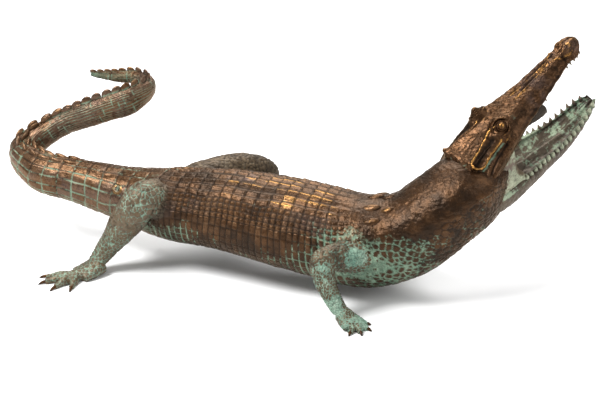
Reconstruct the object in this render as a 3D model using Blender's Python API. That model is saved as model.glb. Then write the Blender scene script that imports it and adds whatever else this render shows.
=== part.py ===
"""Bronze crocodile, cast in one piece: its visible form as one closed solid.

The animal stands on its four feet on z = 0. Its trunk runs along +X, its neck rears up and
its head turns away with the mouth open. The tail bends back over itself in an S.
Sizes named here are metres, the small ones as shares of the overall length. Free forms are given
in units of which UNITS_LONG make the overall length.
"""

import math
from dataclasses import dataclass

import bmesh
import bpy
import numpy as np

# Overall size
LENGTH = 0.745
UNITS_LONG = 1065
THOUSANDTH = LENGTH / UNITS_LONG

# Scutes of the back and whorls of the tail
TRUNK_BANDS = 17
TAIL_WHORLS = 34
BAND_GROOVE_DEPTH = 0.00215 * LENGTH
BACK_KEEL_HEIGHT = 0.00242 * LENGTH
TAIL_CREST_HEIGHT = 0.01745 * LENGTH
NAPE_SCUTE_HEIGHT = 0.00671 * LENGTH

# Head
GAPE_DEGREES = 25.5
EYE_RADIUS = 0.01315 * LENGTH
NOSTRIL_RADIUS = 0.00537 * LENGTH
LOWER_TEETH_PER_SIDE = 15
TOOTH_LENGTH = 0.00913 * LENGTH
TOOTH_WIDTH = 0.00591 * LENGTH
TOOTH_ROOT = 0.00403 * LENGTH
PALATE_FLAP_THICKNESS = 0.00430 * LENGTH

# Feet
TOE_WIDTH = 0.01678 * LENGTH
CLAW_LENGTH = 0.01477 * LENGTH
CLAW_WIDTH = 0.00779 * LENGTH
SOLE_SINK = 0.00215 * LENGTH

# How finely the round forms are faceted
LEG_SIDES = 10
LEG_RINGS = 8
TOE_SIDES = 7
CLAW_SIDES = 5
TOOTH_SIDES = 5

# Colour of the metal: brown patina, rubbed bronze under it
BRONZE_COLOUR = (0.19, 0.135, 0.085, 1.0)
BRONZE_ROUGHNESS = 0.45
BRONZE_METALLIC = 0.85

# Centre line from the tail tip to the throat: x, y, z, half width, rise to the back, drop to the belly
SPINE = (
    (-395, 367, 283, 3, 5, 4),
    (-349, 364, 279, 7, 10, 10),
    (-307, 354, 280, 10, 13, 14),
    (-281, 326, 273, 12, 17, 20),
    (-304, 296, 259, 13, 25, 24),
    (-375, 294, 232, 15, 24, 22),
    (-461, 309, 194, 20, 23, 22),
    (-513, 292, 161, 29, 27, 28),
    (-480, 233, 141, 34, 34, 36),
    (-403, 206, 129, 40, 39, 40),
    (-319, 182, 115, 51, 47, 48),
    (-244, 155, 106, 71, 62, 56),
    (-124, 107, 107, 85, 73, 61),
    (17, 48, 102, 90, 76, 74),
    (114, 10, 102, 82, 72, 85),
    (177, -10, 123, 71, 62, 84),
    (237, -17, 170, 65, 55, 86),
    (285, -3, 208, 60, 47, 92),
    (315, 24, 226, 50, 28, 82),
    (345, 44, 240, 30, 8, 42),
)
HIP_ROW = 11
SHOULDER_ROW = 14
NECK_RINGS = 9
BEND_EASE = 2.0
SECTION_ROUNDNESS = 2.25

# A whorl's length at the tip and at the hips against the middle one, and where its groove and crest lie
WHORL_GROWTH = (0.62, 1.38)
WHORL_GROOVE_AT = 0.04
WHORL_CREST_AT = 0.36

# Where a band's groove ends and its plates begin and end, as shares of the band
BAND_STEPS = (0.0, 0.16, 0.84)
BAND_STAND = (0.0, 1.0, 1.0)
NECK_STAND = 0.6
CREST_IN_GROOVE = 0.22

# Angles round a section from the middle of the back, and what each column carries
COLUMN_ANGLES = (0, 15, 31, 47, 63, 81, 107, 143)
KEEL_COLUMNS = (1, 3, 5)

# Crest along the tail, by share of the way from the tip: twin row, then single row
TWIN_CREST = ((0.0, 0.0), (0.33, 0.0), (0.42, 0.9), (0.52, 0.8), (0.62, 0.45), (0.80, 0.28), (1.0, 0.18))
SINGLE_CREST = ((0.0, 0.2), (0.09, 0.5), (0.20, 1.0), (0.34, 1.0), (0.42, 0.0), (1.0, 0.0))

# Nape plates: share of the neck, degrees from the middle of the back, size against the largest
NAPE_PLATES = (
    (0.12, 13, 1.0),
    (0.12, -13, 1.0),
    (0.13, 38, 0.9),
    (0.13, -38, 0.9),
    (0.24, 14, 0.8),
    (0.24, -14, 0.8),
)
NAPE_PLATE_LONG = 17
NAPE_PLATE_WIDE = 10
NAPE_PLATE_ROOT = 6
NAPE_PLATE_OUTLINE = ((1, 0), (0.5, 0.9), (-0.6, 1), (-1, 0), (-0.6, -1), (0.5, -0.9))

# Head frame: middle of the rear edge of the skull table, the way the snout points, and its top
HEAD_ORIGIN = np.array((262.0, -14.0, 247.5))
HEAD_FORWARD = np.array((0.637, 0.368, 0.678))
HEAD_TOP = np.array((-0.476, -0.504, 0.721))

# Upper jaw, back to front: along the snout, half width at the lip, table half width,
# top, lip, and gum, the last three measured along the head's own top
SNOUT = (
    (-30, 46, 20, -14, -38, -56),
    (0, 56, 33, 1, -31, -54),
    (22, 58, 35, 2, -29, -53),
    (50, 53, 35, 2, -28, -51),
    (76, 48, 33, 1, -28, -50),
    (98, 45, 29, 0, -28, -47),
    (122, 41, 25, -2, -29, -44),
    (153, 37, 20, -7, -31, -42),
    (187, 32, 17, -13, -33, -42),
    (221, 27, 14, -17, -34, -42),
    (246, 23, 12, -20, -35, -43),
    (258, 21, 11, -21, -36, -42),
    (274, 23, 12, -19, -39, -46),
    (287, 19, 9, -21, -39, -45),
    (297, 10, 5, -27, -38, -42),
)
PALATE_RISE = 9
FULL_PALATE_LIP = 20
UPPER_TEETH_AT = (184, 252, 263, 273, 282)

# Places on the head: along, out to the side, up
EYE_AT = (92, 29, -1)
EYES_ASKEW = 2
NOSTRIL_AT = (273, 9, -20)
EAR_FLAP_AT = (48, 30, -12)
EAR_FLAP_RADII = (38, 8, 6)

# Fold that hangs from the palate: its outline as along and up, and its distance from the middle
PALATE_FLAP = ((124, -34), (176, -32), (174, -76), (150, -71))
PALATE_FLAP_MIDDLE = (156, -50)
PALATE_FLAP_SIDE = 20

# Lower jaw in its own frame at the hinge: along, half width, rim height, depth
HINGE = np.array((-20.0, 2.0, -67.0))
MANDIBLE = (
    (-12, 52, -4, 36),
    (20, 60, -2, 44),
    (60, 60, -2, 46),
    (102, 54, -2, 42),
    (146, 45, -2, 37),
    (187, 39, -2, 32),
    (216, 34, 0, 28),
    (244, 29, 6, 25),
    (268, 24, 14, 22),
    (288, 19, 22, 18),
    (303, 10, 26, 13),
)
LOWER_TEETH_FROM = 96
LOWER_TEETH_TO = 292

# Skin at the corner of the mouth, back to front. For the skull and then for the jaw:
# along, outer side, inner side, up
CHEEK_FOLD = (
    ((-8, 52, 30, -44), (6, 54, 30, -20)),
    ((34, 50, 34, -46), (44, 51, 36, -12)),
    ((62, 42, 36, -48), (84, 46, 39, -6)),
)


@dataclass(frozen=True)
class Limb:
    """One leg with its foot.

    leg: rows of x, y, z, half thickness, root first.
    palm: rows of x, y, z, half width, half thickness, heel first.
    claws: x, y of each claw tip.
    across: the way the knee or elbow bends about.
    """

    name: str
    across: tuple
    leg: tuple
    palm: tuple
    claws: tuple


HEADING = (0.922, -0.386, 0.0)
LIMBS = (
    Limb(
        name="hind_near",
        across=(0.0, 1.0, 0.0),
        leg=(
            (-232, 132, 112, 44),
            (-275, 82, 140, 35),
            (-306, 85, 100, 29),
            (-332, 87, 63, 22),
            (-353, 85, 34, 17),
            (-364, 80, 22, 15),
        ),
        palm=((-355, 80, 20, 20, 17), (-378, 64, 12, 26, 14), (-402, 47, 7, 29, 11)),
        claws=((-463, 57), (-461, 28), (-436, 0), (-401, -4)),
    ),
    Limb(
        name="hind_far",
        across=(0.4, -1.0, 0.0),
        leg=(
            (-205, 200, 114, 42),
            (-157, 235, 130, 33),
            (-102, 258, 133, 29),
            (-66, 274, 117, 27),
            (-76, 283, 78, 22),
            (-98, 289, 42, 17),
            (-104, 293, 22, 16),
        ),
        palm=((-104, 292, 20, 20, 17), (-92, 311, 12, 26, 14), (-76, 334, 7, 29, 11)),
        claws=((-44, 387), (-22, 366), (-6, 341), (-17, 308)),
    ),
    Limb(
        name="fore_near",
        across=HEADING,
        leg=(
            (122, -30, 96, 34),
            (78, -66, 99, 27),
            (37, -99, 98, 22),
            (43, -105, 67, 18),
            (57, -112, 37, 14),
            (67, -118, 22, 13),
        ),
        palm=((70, -118, 18, 15, 14), (81, -130, 11, 21, 13), (91, -142, 7, 24, 10)),
        claws=((80, -173), (102, -172), (119, -155), (119, -130), (106, -109)),
    ),
    Limb(
        name="fore_far",
        across=HEADING,
        leg=(
            (150, 36, 96, 34),
            (163, 92, 96, 27),
            (160, 140, 90, 22),
            (170, 148, 62, 18),
            (184, 155, 36, 14),
            (192, 160, 22, 13),
        ),
        palm=((193, 160, 18, 15, 14), (206, 167, 11, 21, 13), (219, 173, 7, 24, 10)),
        claws=((248, 150), (260, 170), (254, 191), (234, 204), (210, 206)),
    ),
)

# How toes leave the ball of the foot, and their shares of the toe width: middle, half height, half width
TOE_SPREAD = 0.75
TOE_SET_BACK = 0.5
TOE_LIFTS = (0.50, 0.56, 0.36)
TOE_HEIGHTS = (0.50, 0.62, 0.38)
TOE_WIDTHS = (0.50, 0.50, 0.34)


def through(knots, values, at):
    """A smooth curve through the values at the knots, read at the given places."""
    knots = np.asarray(knots, float)
    values = np.asarray(values, float)
    slopes = np.gradient(values, knots, axis=0)
    i = np.clip(np.searchsorted(knots, at, side="right") - 1, 0, len(knots) - 2)
    step = (knots[i + 1] - knots[i])[:, None]
    t = (np.asarray(at) - knots[i])[:, None] / step
    return (
        (2 * t**3 - 3 * t**2 + 1) * values[i]
        + (t**3 - 2 * t**2 + t) * step * slopes[i]
        + (3 * t**2 - 2 * t**3) * values[i + 1]
        + (t**3 - t**2) * step * slopes[i + 1]
    )


def unit(vectors):
    """The vectors at a length of one."""
    return vectors / np.linalg.norm(vectors, axis=-1, keepdims=True)


def way_along(points):
    """Distance along a line of points, at each of them."""
    return np.concatenate([[0.0], np.cumsum(np.linalg.norm(np.diff(points, axis=0), axis=1))])


def eased(ways, at, reach):
    """Directions averaged over a reach along the line, so that sections don't cross inside a tight bend."""
    near = np.clip(1.0 - np.abs(at[:, None] - at[None, :]) / reach[:, None], 0.0, None)
    return unit((near * np.gradient(at)[None, :]) @ ways)


def rounded(angle, power):
    """Sideways and upward shares of a rounded section at angles from its top."""
    shares = np.stack([np.sin(angle), np.cos(angle)])
    return np.sign(shares) * np.abs(shares) ** (2 / power)


def as_object(name, made):
    """An object in the scene from a finished mesh."""
    mesh = bpy.data.meshes.new(name)
    made.to_mesh(mesh)
    made.free()
    piece = bpy.data.objects.new(name, mesh)
    bpy.context.scene.collection.objects.link(piece)
    return piece


def skin(name, rings, start, end):
    """A closed mesh over rings of points, drawn together to one point at each end."""
    around = len(rings[0])
    made = bmesh.new()
    rows = [[made.verts.new(point) for point in ring] for ring in rings]
    first = made.verts.new(start)
    last = made.verts.new(end)
    for row in range(len(rings) - 1):
        for i in range(around):
            j = (i + 1) % around
            made.faces.new((rows[row][i], rows[row][j], rows[row + 1][j], rows[row + 1][i]))
    for i in range(around):
        j = (i + 1) % around
        made.faces.new((first, rows[0][j], rows[0][i]))
        made.faces.new((last, rows[-1][i], rows[-1][j]))
    bmesh.ops.recalc_face_normals(made, faces=made.faces)
    return as_object(name, made)


def tube(name, points, across, half_heights, half_widths, sides):
    """A limb or toe: oval sections square to a line of points, with blunt ends."""
    reach = np.full(len(points), BEND_EASE * half_widths.max())
    along = eased(unit(np.gradient(points, axis=0)), way_along(points), reach)
    top = unit(np.cross(along, across))
    side = np.cross(top, along)
    turn = np.arange(sides) * 2 * math.pi / sides
    rings = (
        points[:, None]
        + side[:, None] * (np.cos(turn) * half_widths[:, None])[..., None]
        + top[:, None] * (np.sin(turn) * half_heights[:, None])[..., None]
    )
    blunt = 0.35
    return skin(
        name,
        rings,
        points[0] - along[0] * half_heights[0] * blunt,
        points[-1] + along[-1] * half_heights[-1] * blunt,
    )


def spine_frames(at, knots, line, girth):
    """Points on the centre line with the way along, the way to the back and the right side."""
    points = through(knots, line, at)
    along = eased(unit(np.gradient(points, at, axis=0)), at, BEND_EASE * girth + 1e-6)
    lean = np.clip((at - knots[SHOULDER_ROW]) / (knots[-3] - knots[SHOULDER_ROW]), 0, 1)[:, None]
    back = (1 - lean) * np.array((0.0, 0.0, 1.0)) + lean * HEAD_TOP
    back = unit(back - (back * along).sum(1, keepdims=True) * along)
    return points, along, back, np.cross(along, back)


def body_plan(knots):
    """Where each ring of the body stands, and how far its scutes stand up there (0 to 1)."""
    hips = knots[HIP_ROW]
    shoulder = knots[SHOULDER_ROW]
    growth = np.linspace(*WHORL_GROWTH, TAIL_WHORLS)
    whorls = np.concatenate([[0.0], np.cumsum(growth) * hips / growth.sum()])
    at = []
    stand = []
    for start, stop in zip(whorls[:-1], whorls[1:]):
        at += [start + share * (stop - start) for share in (WHORL_GROOVE_AT, WHORL_CREST_AT)]
        stand += [0.0, 1.0]
    bands = np.linspace(hips, shoulder, TRUNK_BANDS + 1)
    for start, stop in zip(bands[:-1], bands[1:]):
        at += [start + share * (stop - start) for share in BAND_STEPS]
        stand += BAND_STAND
    at += list(np.linspace(shoulder, knots[-1], NECK_RINGS + 1))
    stand += [0.0] + [NECK_STAND] * NECK_RINGS
    return np.array(at), np.array(stand)


def relief(at, stand, angles, rise, knots):
    """How far each point of the body's skin stands above the plain form: grooves, keels and crests."""
    columns = len(COLUMN_ANGLES)
    size = np.clip(rise / rise.max(), 0.25, 1.0)
    off_back = np.minimum(angles, 2 * math.pi - angles)
    on_back = np.clip(1.4 - off_back / 1.4, 0.35, 1.0)
    lift = -BAND_GROOVE_DEPTH * size[:, None] * (1 - stand[:, None]) * on_back
    keels = BACK_KEEL_HEIGHT * np.where(at < knots[SHOULDER_ROW], stand, 0.0) * np.clip(size, 0.4, 1.0)
    for column in KEEL_COLUMNS:
        lift[:, column] += keels
        lift[:, 2 * columns - column] += keels
    share = at / knots[HIP_ROW]
    notch = CREST_IN_GROOVE + (1 - CREST_IN_GROOVE) * stand
    twin = np.interp(share, *np.array(TWIN_CREST).T, right=0.0) * notch * TAIL_CREST_HEIGHT
    lift[:, 1] += twin
    lift[:, 2 * columns - 1] += twin
    lift[:, 0] += np.interp(share, *np.array(SINGLE_CREST).T) * notch * TAIL_CREST_HEIGHT
    return lift


def body():
    """Tail, trunk and neck: one skin whose rings follow the whorls and bands of scutes."""
    table = np.array(SPINE, float) * THOUSANDTH
    knots = way_along(table[:, :3])
    at, stand = body_plan(knots)
    width, rise, drop = through(knots, table[:, 3:], at).T
    points, along, back, right = spine_frames(at, knots, table[:, :3], width)
    half = np.radians(COLUMN_ANGLES)
    angles = np.concatenate([half, [math.pi], 2 * math.pi - half[:0:-1]])
    sideways, upward = rounded(angles, SECTION_ROUNDNESS)
    spread = width[:, None] * sideways
    reach = np.where(upward > 0, rise[:, None], drop[:, None]) * upward
    outward = np.stack([spread / width[:, None], reach / np.maximum(rise, drop)[:, None]])
    outward = outward / np.linalg.norm(outward, axis=0)
    lift = relief(at, stand, angles, rise, knots)
    spread = spread + outward[0] * lift
    reach = reach + outward[1] * lift
    rings = points[:, None] + right[:, None] * spread[..., None] + back[:, None] * reach[..., None]
    tip = points[0] - along[0] * rise[0]
    throat = points[-1] + along[-1] * width[-1] * 0.4
    return skin("crocodile", rings, tip, throat)


def nape_plate(share, degrees, size):
    """One raised plate of the nape: a low keel on a six-sided foot, sunk in the skin."""
    table = np.array(SPINE, float) * THOUSANDTH
    knots = way_along(table[:, :3])
    place = knots[SHOULDER_ROW] + share * (knots[-1] - knots[SHOULDER_ROW])
    at = np.array([place, place + THOUSANDTH])
    points, along, back, right = spine_frames(at, knots, table[:, :3], np.zeros(2))
    width, rise, _ = through(knots, table[:, 3:], at)[0]
    angle = math.radians(degrees)
    sideways, upward = rounded(np.array([angle]), SECTION_ROUNDNESS)
    foot_of_plate = points[0] + right[0] * width * sideways[0] + back[0] * rise * upward[0]
    out = unit(right[0] * math.sin(angle) + back[0] * math.cos(angle))
    across = np.cross(along[0], out)
    long = NAPE_PLATE_LONG * THOUSANDTH * size
    wide = NAPE_PLATE_WIDE * THOUSANDTH * size
    base = foot_of_plate - out * NAPE_PLATE_ROOT * THOUSANDTH
    ring = [base + along[0] * long * a + across * wide * b for a, b in NAPE_PLATE_OUTLINE]
    peak = foot_of_plate + out * NAPE_SCUTE_HEIGHT * size - along[0] * long * 0.35
    return skin("nape_plate", [ring], base - out * NAPE_PLATE_ROOT * THOUSANDTH, peak)


def head_frame():
    """The ways forward, to the right and up of the head."""
    forward = unit(HEAD_FORWARD)
    top = unit(HEAD_TOP - (HEAD_TOP @ forward) * forward)
    return forward, np.cross(forward, top), top


def in_head(along, right, up):
    """World place of a point of the head given in thousandths along, right and up."""
    forward, side, top = head_frame()
    spread = [np.asarray(v, float)[..., None] for v in (along, right, up)]
    return (HEAD_ORIGIN + spread[0] * forward + spread[1] * side + spread[2] * top) * THOUSANDTH


def in_jaw(along, right, up):
    """World place of a point of the lower jaw, which swings about its hinge by the gape."""
    gape = math.radians(GAPE_DEGREES)
    along = np.asarray(along, float)
    up = np.asarray(up, float)
    swung = along * math.cos(gape) + up * math.sin(gape)
    raised = up * math.cos(gape) - along * math.sin(gape)
    return in_head(HINGE[0] + swung, HINGE[1] + np.asarray(right, float), HINGE[2] + raised)


def mirrored(half):
    """A whole ring of (right, up) pairs from its right half, top to bottom, both on the middle."""
    left = [(-side, up) for side, up in half[-2:0:-1]]
    return half + left


def upper_jaw():
    """Skull and snout: table, ear groove, lip ridge, gum and hollow palate."""
    rings = []
    for along, lip, table, top, edge, gum in SNOUT:
        waist = 0.45 * table + 0.5 * lip
        palate = gum + PALATE_RISE * min(1.0, lip / FULL_PALATE_LIP)
        half = [
            (0, top),
            (0.5 * table, top + 1),
            (table, top),
            (waist, 0.5 * (top + edge) - 3),
            (lip, edge),
            (0.97 * lip, 0.5 * (edge + gum)),
            (0.86 * lip, gum),
            (0.68 * lip, gum + 1),
            (0.5 * lip, palate),
            (0, palate + 1),
        ]
        pairs = np.array(mirrored(half), float)
        rings.append(in_head(np.full(len(pairs), along), pairs[:, 0], pairs[:, 1]))
    rear = in_head(SNOUT[0][0] - 8, 0, -36)
    front = in_head(SNOUT[-1][0] + 5, 0, 0.5 * (SNOUT[-1][4] + SNOUT[-1][5]))
    return skin("upper_jaw", rings, rear, front)


def lower_jaw():
    """Mandible: two rami with a rim for the teeth and the tongue lying between them."""
    rings = []
    for along, wide, rim, deep in MANDIBLE:
        half = [
            (0, rim - 0.30 * deep),
            (0.3 * wide, rim - 0.44 * deep),
            (0.64 * wide, rim - 0.36 * deep),
            (0.78 * wide, rim + 0.5),
            (0.93 * wide, rim + 1.5),
            (wide, rim - 0.15 * deep),
            (0.92 * wide, rim - 0.58 * deep),
            (0.6 * wide, rim - deep),
            (0, rim - deep),
        ]
        pairs = np.array(mirrored(half), float)
        rings.append(in_jaw(np.full(len(pairs), along), pairs[:, 0], pairs[:, 1]))
    rear = in_jaw(MANDIBLE[0][0] - 8, 0, MANDIBLE[0][2] - 0.4 * MANDIBLE[0][3])
    front = in_jaw(MANDIBLE[-1][0] + 4, 0, MANDIBLE[-1][2] - 0.5 * MANDIBLE[-1][3])
    return skin("lower_jaw", rings, rear, front)


def cheek(side):
    """The fold of skin at the corner of the mouth: thick at the hinge, drawn thin to the front."""
    made = bmesh.new()
    for skull, jaw in CHEEK_FOLD:
        for out in (1, 2):
            made.verts.new(in_head(skull[0], side * skull[out], skull[3]))
            made.verts.new(in_jaw(jaw[0], side * jaw[out], jaw[3]))
    hull = bmesh.ops.convex_hull(made, input=made.verts)
    bmesh.ops.delete(made, geom=list(set(hull["geom_interior"] + hull["geom_unused"])), context="VERTS")
    bmesh.ops.recalc_face_normals(made, faces=made.faces)
    return as_object("cheek", made)


def palate_flap():
    """The fold that hangs from the palate, its lower front corner the deepest."""
    half = 0.5 * PALATE_FLAP_THICKNESS / THOUSANDTH
    sides = (PALATE_FLAP_SIDE - half, PALATE_FLAP_SIDE + half)
    rings = [[in_head(along, side, up) for along, up in PALATE_FLAP] for side in sides]
    inner = in_head(PALATE_FLAP_MIDDLE[0], sides[0] - 0.3, PALATE_FLAP_MIDDLE[1])
    outer = in_head(PALATE_FLAP_MIDDLE[0], sides[1] + 0.3, PALATE_FLAP_MIDDLE[1])
    return skin("palate_flap", rings, inner, outer)


def ball(name, centre, radii, axes, rows, around):
    """An oval knob such as an eye or a nostril."""
    rings = []
    for row in range(1, rows):
        polar = math.pi * row / rows
        turn = np.arange(around) * 2 * math.pi / around
        rings.append(
            centre
            + axes[0] * radii[0] * (math.sin(polar) * np.cos(turn))[:, None]
            + axes[1] * radii[1] * (math.sin(polar) * np.sin(turn))[:, None]
            + axes[2] * radii[2] * math.cos(polar)
        )
    return skin(name, rings, centre + axes[2] * radii[2], centre - axes[2] * radii[2])


def knobs_of_head():
    """Eyes, nostrils and the flaps over the ears, a pair of each."""
    axes = head_frame()
    ear_radii = [radius * THOUSANDTH for radius in EAR_FLAP_RADII]
    eye_radii = (EYE_RADIUS * 1.2, EYE_RADIUS, EYE_RADIUS)
    nostril_radii = (NOSTRIL_RADIUS * 1.3, NOSTRIL_RADIUS, NOSTRIL_RADIUS)
    made = []
    for sign in (1, -1):
        eye = in_head(EYE_AT[0], sign * EYE_AT[1] - EYES_ASKEW, EYE_AT[2])
        nostril = in_head(NOSTRIL_AT[0], sign * NOSTRIL_AT[1], NOSTRIL_AT[2])
        ear = in_head(EAR_FLAP_AT[0], sign * EAR_FLAP_AT[1], EAR_FLAP_AT[2])
        made.append(ball("eye", eye, eye_radii, axes, 5, 10))
        made.append(ball("nostril", nostril, nostril_radii, axes, 4, 7))
        made.append(ball("ear_flap", ear, ear_radii, axes, 4, 6))
    return made


def tooth(root, tip_way, lean_way):
    """One tooth: a cone of few sides whose root is sunk in the gum."""
    turn = np.arange(TOOTH_SIDES) * 2 * math.pi / TOOTH_SIDES
    across = unit(np.cross(tip_way, lean_way))
    base = root - tip_way * TOOTH_ROOT
    ring = base + (
        across * np.cos(turn)[:, None] + np.cross(tip_way, across) * np.sin(turn)[:, None]
    ) * TOOTH_WIDTH / 2
    return skin("tooth", [ring], base - tip_way * TOOTH_WIDTH * 0.1, root + tip_way * TOOTH_LENGTH)


def teeth():
    """Both rows of the lower jaw, and the few left in the upper jaw."""
    forward, side, top = head_frame()
    gape = math.radians(GAPE_DEGREES)
    jaw_top = top * math.cos(gape) + forward * math.sin(gape)
    jaw_forward = forward * math.cos(gape) - top * math.sin(gape)
    table = np.array(MANDIBLE, float)
    made = []
    for place in np.linspace(LOWER_TEETH_FROM, LOWER_TEETH_TO, LOWER_TEETH_PER_SIDE):
        wide, rim = (np.interp(place, table[:, 0], table[:, column]) for column in (1, 2))
        for sign in (1, -1):
            way = unit(jaw_top + side * sign * 0.35 + jaw_forward * 0.1)
            made.append(tooth(in_jaw(place, sign * 0.86 * wide, rim + 0.5), way, jaw_forward))
    upper = np.array(SNOUT, float)
    for place in UPPER_TEETH_AT:
        lip, gum = (np.interp(place, upper[:, 0], upper[:, column]) for column in (1, 5))
        for sign in (1, -1):
            way = unit(-top + side * sign * 0.3 + forward * 0.1)
            made.append(tooth(in_head(place, sign * 0.78 * lip, gum - 0.3), way, forward))
    return made


def leg(limb):
    """The leg down to the ankle or wrist, its root inside the trunk."""
    rows = np.array(limb.leg, float) * THOUSANDTH
    knots = way_along(rows[:, :3])
    at = np.linspace(0, knots[-1], LEG_RINGS)
    points = through(knots, rows[:, :3], at)
    thick = through(knots, rows[:, 3:], at)[:, 0]
    across = np.array(limb.across, float)
    return tube(limb.name + "_leg", points, across, thick, thick, LEG_SIDES)


def toe(root, claw_tip, across_floor):
    """One toe, swollen at its middle joint, and its claw."""
    floor = np.array((0.0, 0.0, 1.0))
    way = unit(claw_tip - root)
    claw_root = claw_tip - way * CLAW_LENGTH
    claw_root[2] = TOE_WIDTH * TOE_LIFTS[-1]
    points = np.linspace(root, claw_root, len(TOE_LIFTS))
    points[:, 2] = np.array(TOE_LIFTS) * TOE_WIDTH
    heights = np.array(TOE_HEIGHTS) * TOE_WIDTH
    widths = np.array(TOE_WIDTHS) * TOE_WIDTH
    flesh = tube("toe", points, across_floor, heights, widths, TOE_SIDES)
    turn = np.arange(CLAW_SIDES) * 2 * math.pi / CLAW_SIDES
    ring = across_floor * np.cos(turn)[:, None] + floor * np.sin(turn)[:, None] * 0.9
    behind = claw_root - unit(way * (1, 1, 0)) * CLAW_LENGTH * 0.25
    ahead = claw_root * 0.45 + claw_tip * 0.55 + floor * CLAW_WIDTH * 0.15
    rings = [behind + ring * CLAW_WIDTH * 0.5, ahead + ring * CLAW_WIDTH * 0.36]
    return [flesh, skin("claw", rings, behind - way * CLAW_WIDTH * 0.1, claw_tip)]


def foot(limb):
    """The palm, and the toes with their claws spread from it. The soles are cut flat afterwards."""
    rows = np.array(limb.palm, float) * THOUSANDTH
    floor = np.array((0.0, 0.0, 1.0))
    along = unit(rows[-1, :3] - rows[0, :3])
    across = unit(np.cross(along, floor))
    made = [tube(limb.name + "_palm", rows[:, :3], across, rows[:, 4], rows[:, 3], LEG_SIDES)]
    ball_of_foot = rows[-1, :3]
    half_width = rows[-1, 3]
    tips = np.array([(x * THOUSANDTH, y * THOUSANDTH, CLAW_WIDTH * 0.35) for x, y in limb.claws])
    way_in = tips[0] - ball_of_foot
    first_side = np.sign(way_in[0] * along[1] - way_in[1] * along[0])
    for tip, offset in zip(tips, np.linspace(-TOE_SPREAD, TOE_SPREAD, len(tips))):
        root = ball_of_foot + half_width * (across * offset * first_side - along * TOE_SET_BACK)
        way = unit(tip - root)
        made += toe(root, tip, unit(np.cross(way * (1, 1, 0), floor)))
    return made


def joined(whole, pieces):
    """All pieces grown together into one solid."""
    for piece in pieces:
        join = whole.modifiers.new("join", "BOOLEAN")
        join.operation = "UNION"
        join.solver = "EXACT"
        join.object = piece
        graph = bpy.context.evaluated_depsgraph_get()
        mesh = bpy.data.meshes.new_from_object(whole.evaluated_get(graph))
        whole.modifiers.clear()
        old = whole.data
        whole.data = mesh
        bpy.data.meshes.remove(old)
        bpy.data.objects.remove(piece)
    return whole


def cut_soles(whole):
    """The soles: everything below the floor is cut away, which leaves four flat feet."""
    deep = 0.1 * LENGTH
    wide = 2.0 * LENGTH
    ground = bmesh.new()
    bmesh.ops.create_cube(ground, size=1.0)
    bmesh.ops.scale(ground, vec=(wide, wide, deep), verts=ground.verts)
    bmesh.ops.translate(ground, vec=(0, 0, SOLE_SINK - deep / 2), verts=ground.verts)
    cutter = as_object("ground", ground)
    cut = whole.modifiers.new("soles", "BOOLEAN")
    cut.operation = "DIFFERENCE"
    cut.solver = "EXACT"
    cut.object = cutter
    graph = bpy.context.evaluated_depsgraph_get()
    whole.data = bpy.data.meshes.new_from_object(whole.evaluated_get(graph))
    whole.modifiers.clear()
    bpy.data.objects.remove(cutter)


def stand_on_origin(whole):
    """Soles on z = 0 and the middle of the whole over the origin."""
    count = len(whole.data.vertices)
    places = np.empty(count * 3)
    whole.data.vertices.foreach_get("co", places)
    places = places.reshape(-1, 3)
    low = places.min(axis=0)
    middle = (low + places.max(axis=0)) / 2
    places -= (middle[0], middle[1], low[2])
    whole.data.vertices.foreach_set("co", places.ravel())
    whole.data.update()


def bronze():
    """The metal's one material."""
    material = bpy.data.materials.new("bronze_patina")
    material.use_nodes = True
    surface = material.node_tree.nodes["Principled BSDF"]
    surface.inputs["Base Color"].default_value = BRONZE_COLOUR
    surface.inputs["Roughness"].default_value = BRONZE_ROUGHNESS
    surface.inputs["Metallic"].default_value = BRONZE_METALLIC
    return material


def main():
    """Clears the scene and builds the crocodile."""
    for old in list(bpy.data.objects):
        bpy.data.objects.remove(old)
    whole = body()
    pieces = [leg(limb) for limb in LIMBS]
    pieces += [upper_jaw(), lower_jaw(), cheek(1), cheek(-1), palate_flap()]
    pieces += knobs_of_head()
    pieces += [nape_plate(*plate) for plate in NAPE_PLATES]
    pieces += teeth()
    for limb in LIMBS:
        pieces += foot(limb)
    joined(whole, pieces)
    cut_soles(whole)
    stand_on_origin(whole)
    whole.data.materials.clear()
    whole.data.materials.append(bronze())
    whole.data.shade_smooth()


if __name__ == "__main__":
    main()
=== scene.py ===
"""Bronze crocodile with its scales, crest, teeth and patina, set on a plain pale floor.

The animal is one casting. Its skin is worked out as surfaces in metres: a long skin for tail, trunk
and neck, a skull, a lower jaw, four limbs, and the small pieces that stand on them. Free forms are
tables in thousandths of the overall length, and each surface carries marks (groove, wear, green,
net, tint) that its finish reads.
"""

from __future__ import annotations

import logging
import math
from dataclasses import dataclass, field
from enum import Enum

import bpy
import numpy as np
from mathutils import Matrix, Vector

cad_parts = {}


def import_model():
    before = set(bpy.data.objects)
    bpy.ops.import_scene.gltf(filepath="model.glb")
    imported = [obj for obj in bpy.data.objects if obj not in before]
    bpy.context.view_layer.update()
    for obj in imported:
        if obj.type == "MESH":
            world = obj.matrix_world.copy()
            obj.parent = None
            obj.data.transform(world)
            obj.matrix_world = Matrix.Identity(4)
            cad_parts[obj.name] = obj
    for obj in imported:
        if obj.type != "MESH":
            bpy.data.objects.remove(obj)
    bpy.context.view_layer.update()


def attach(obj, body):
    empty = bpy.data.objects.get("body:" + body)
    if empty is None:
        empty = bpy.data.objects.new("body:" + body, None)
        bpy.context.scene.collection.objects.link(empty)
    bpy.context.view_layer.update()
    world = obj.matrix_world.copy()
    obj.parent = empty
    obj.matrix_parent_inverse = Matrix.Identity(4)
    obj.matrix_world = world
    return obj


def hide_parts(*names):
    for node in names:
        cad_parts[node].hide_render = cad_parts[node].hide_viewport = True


log = logging.getLogger("crocodile")

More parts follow.
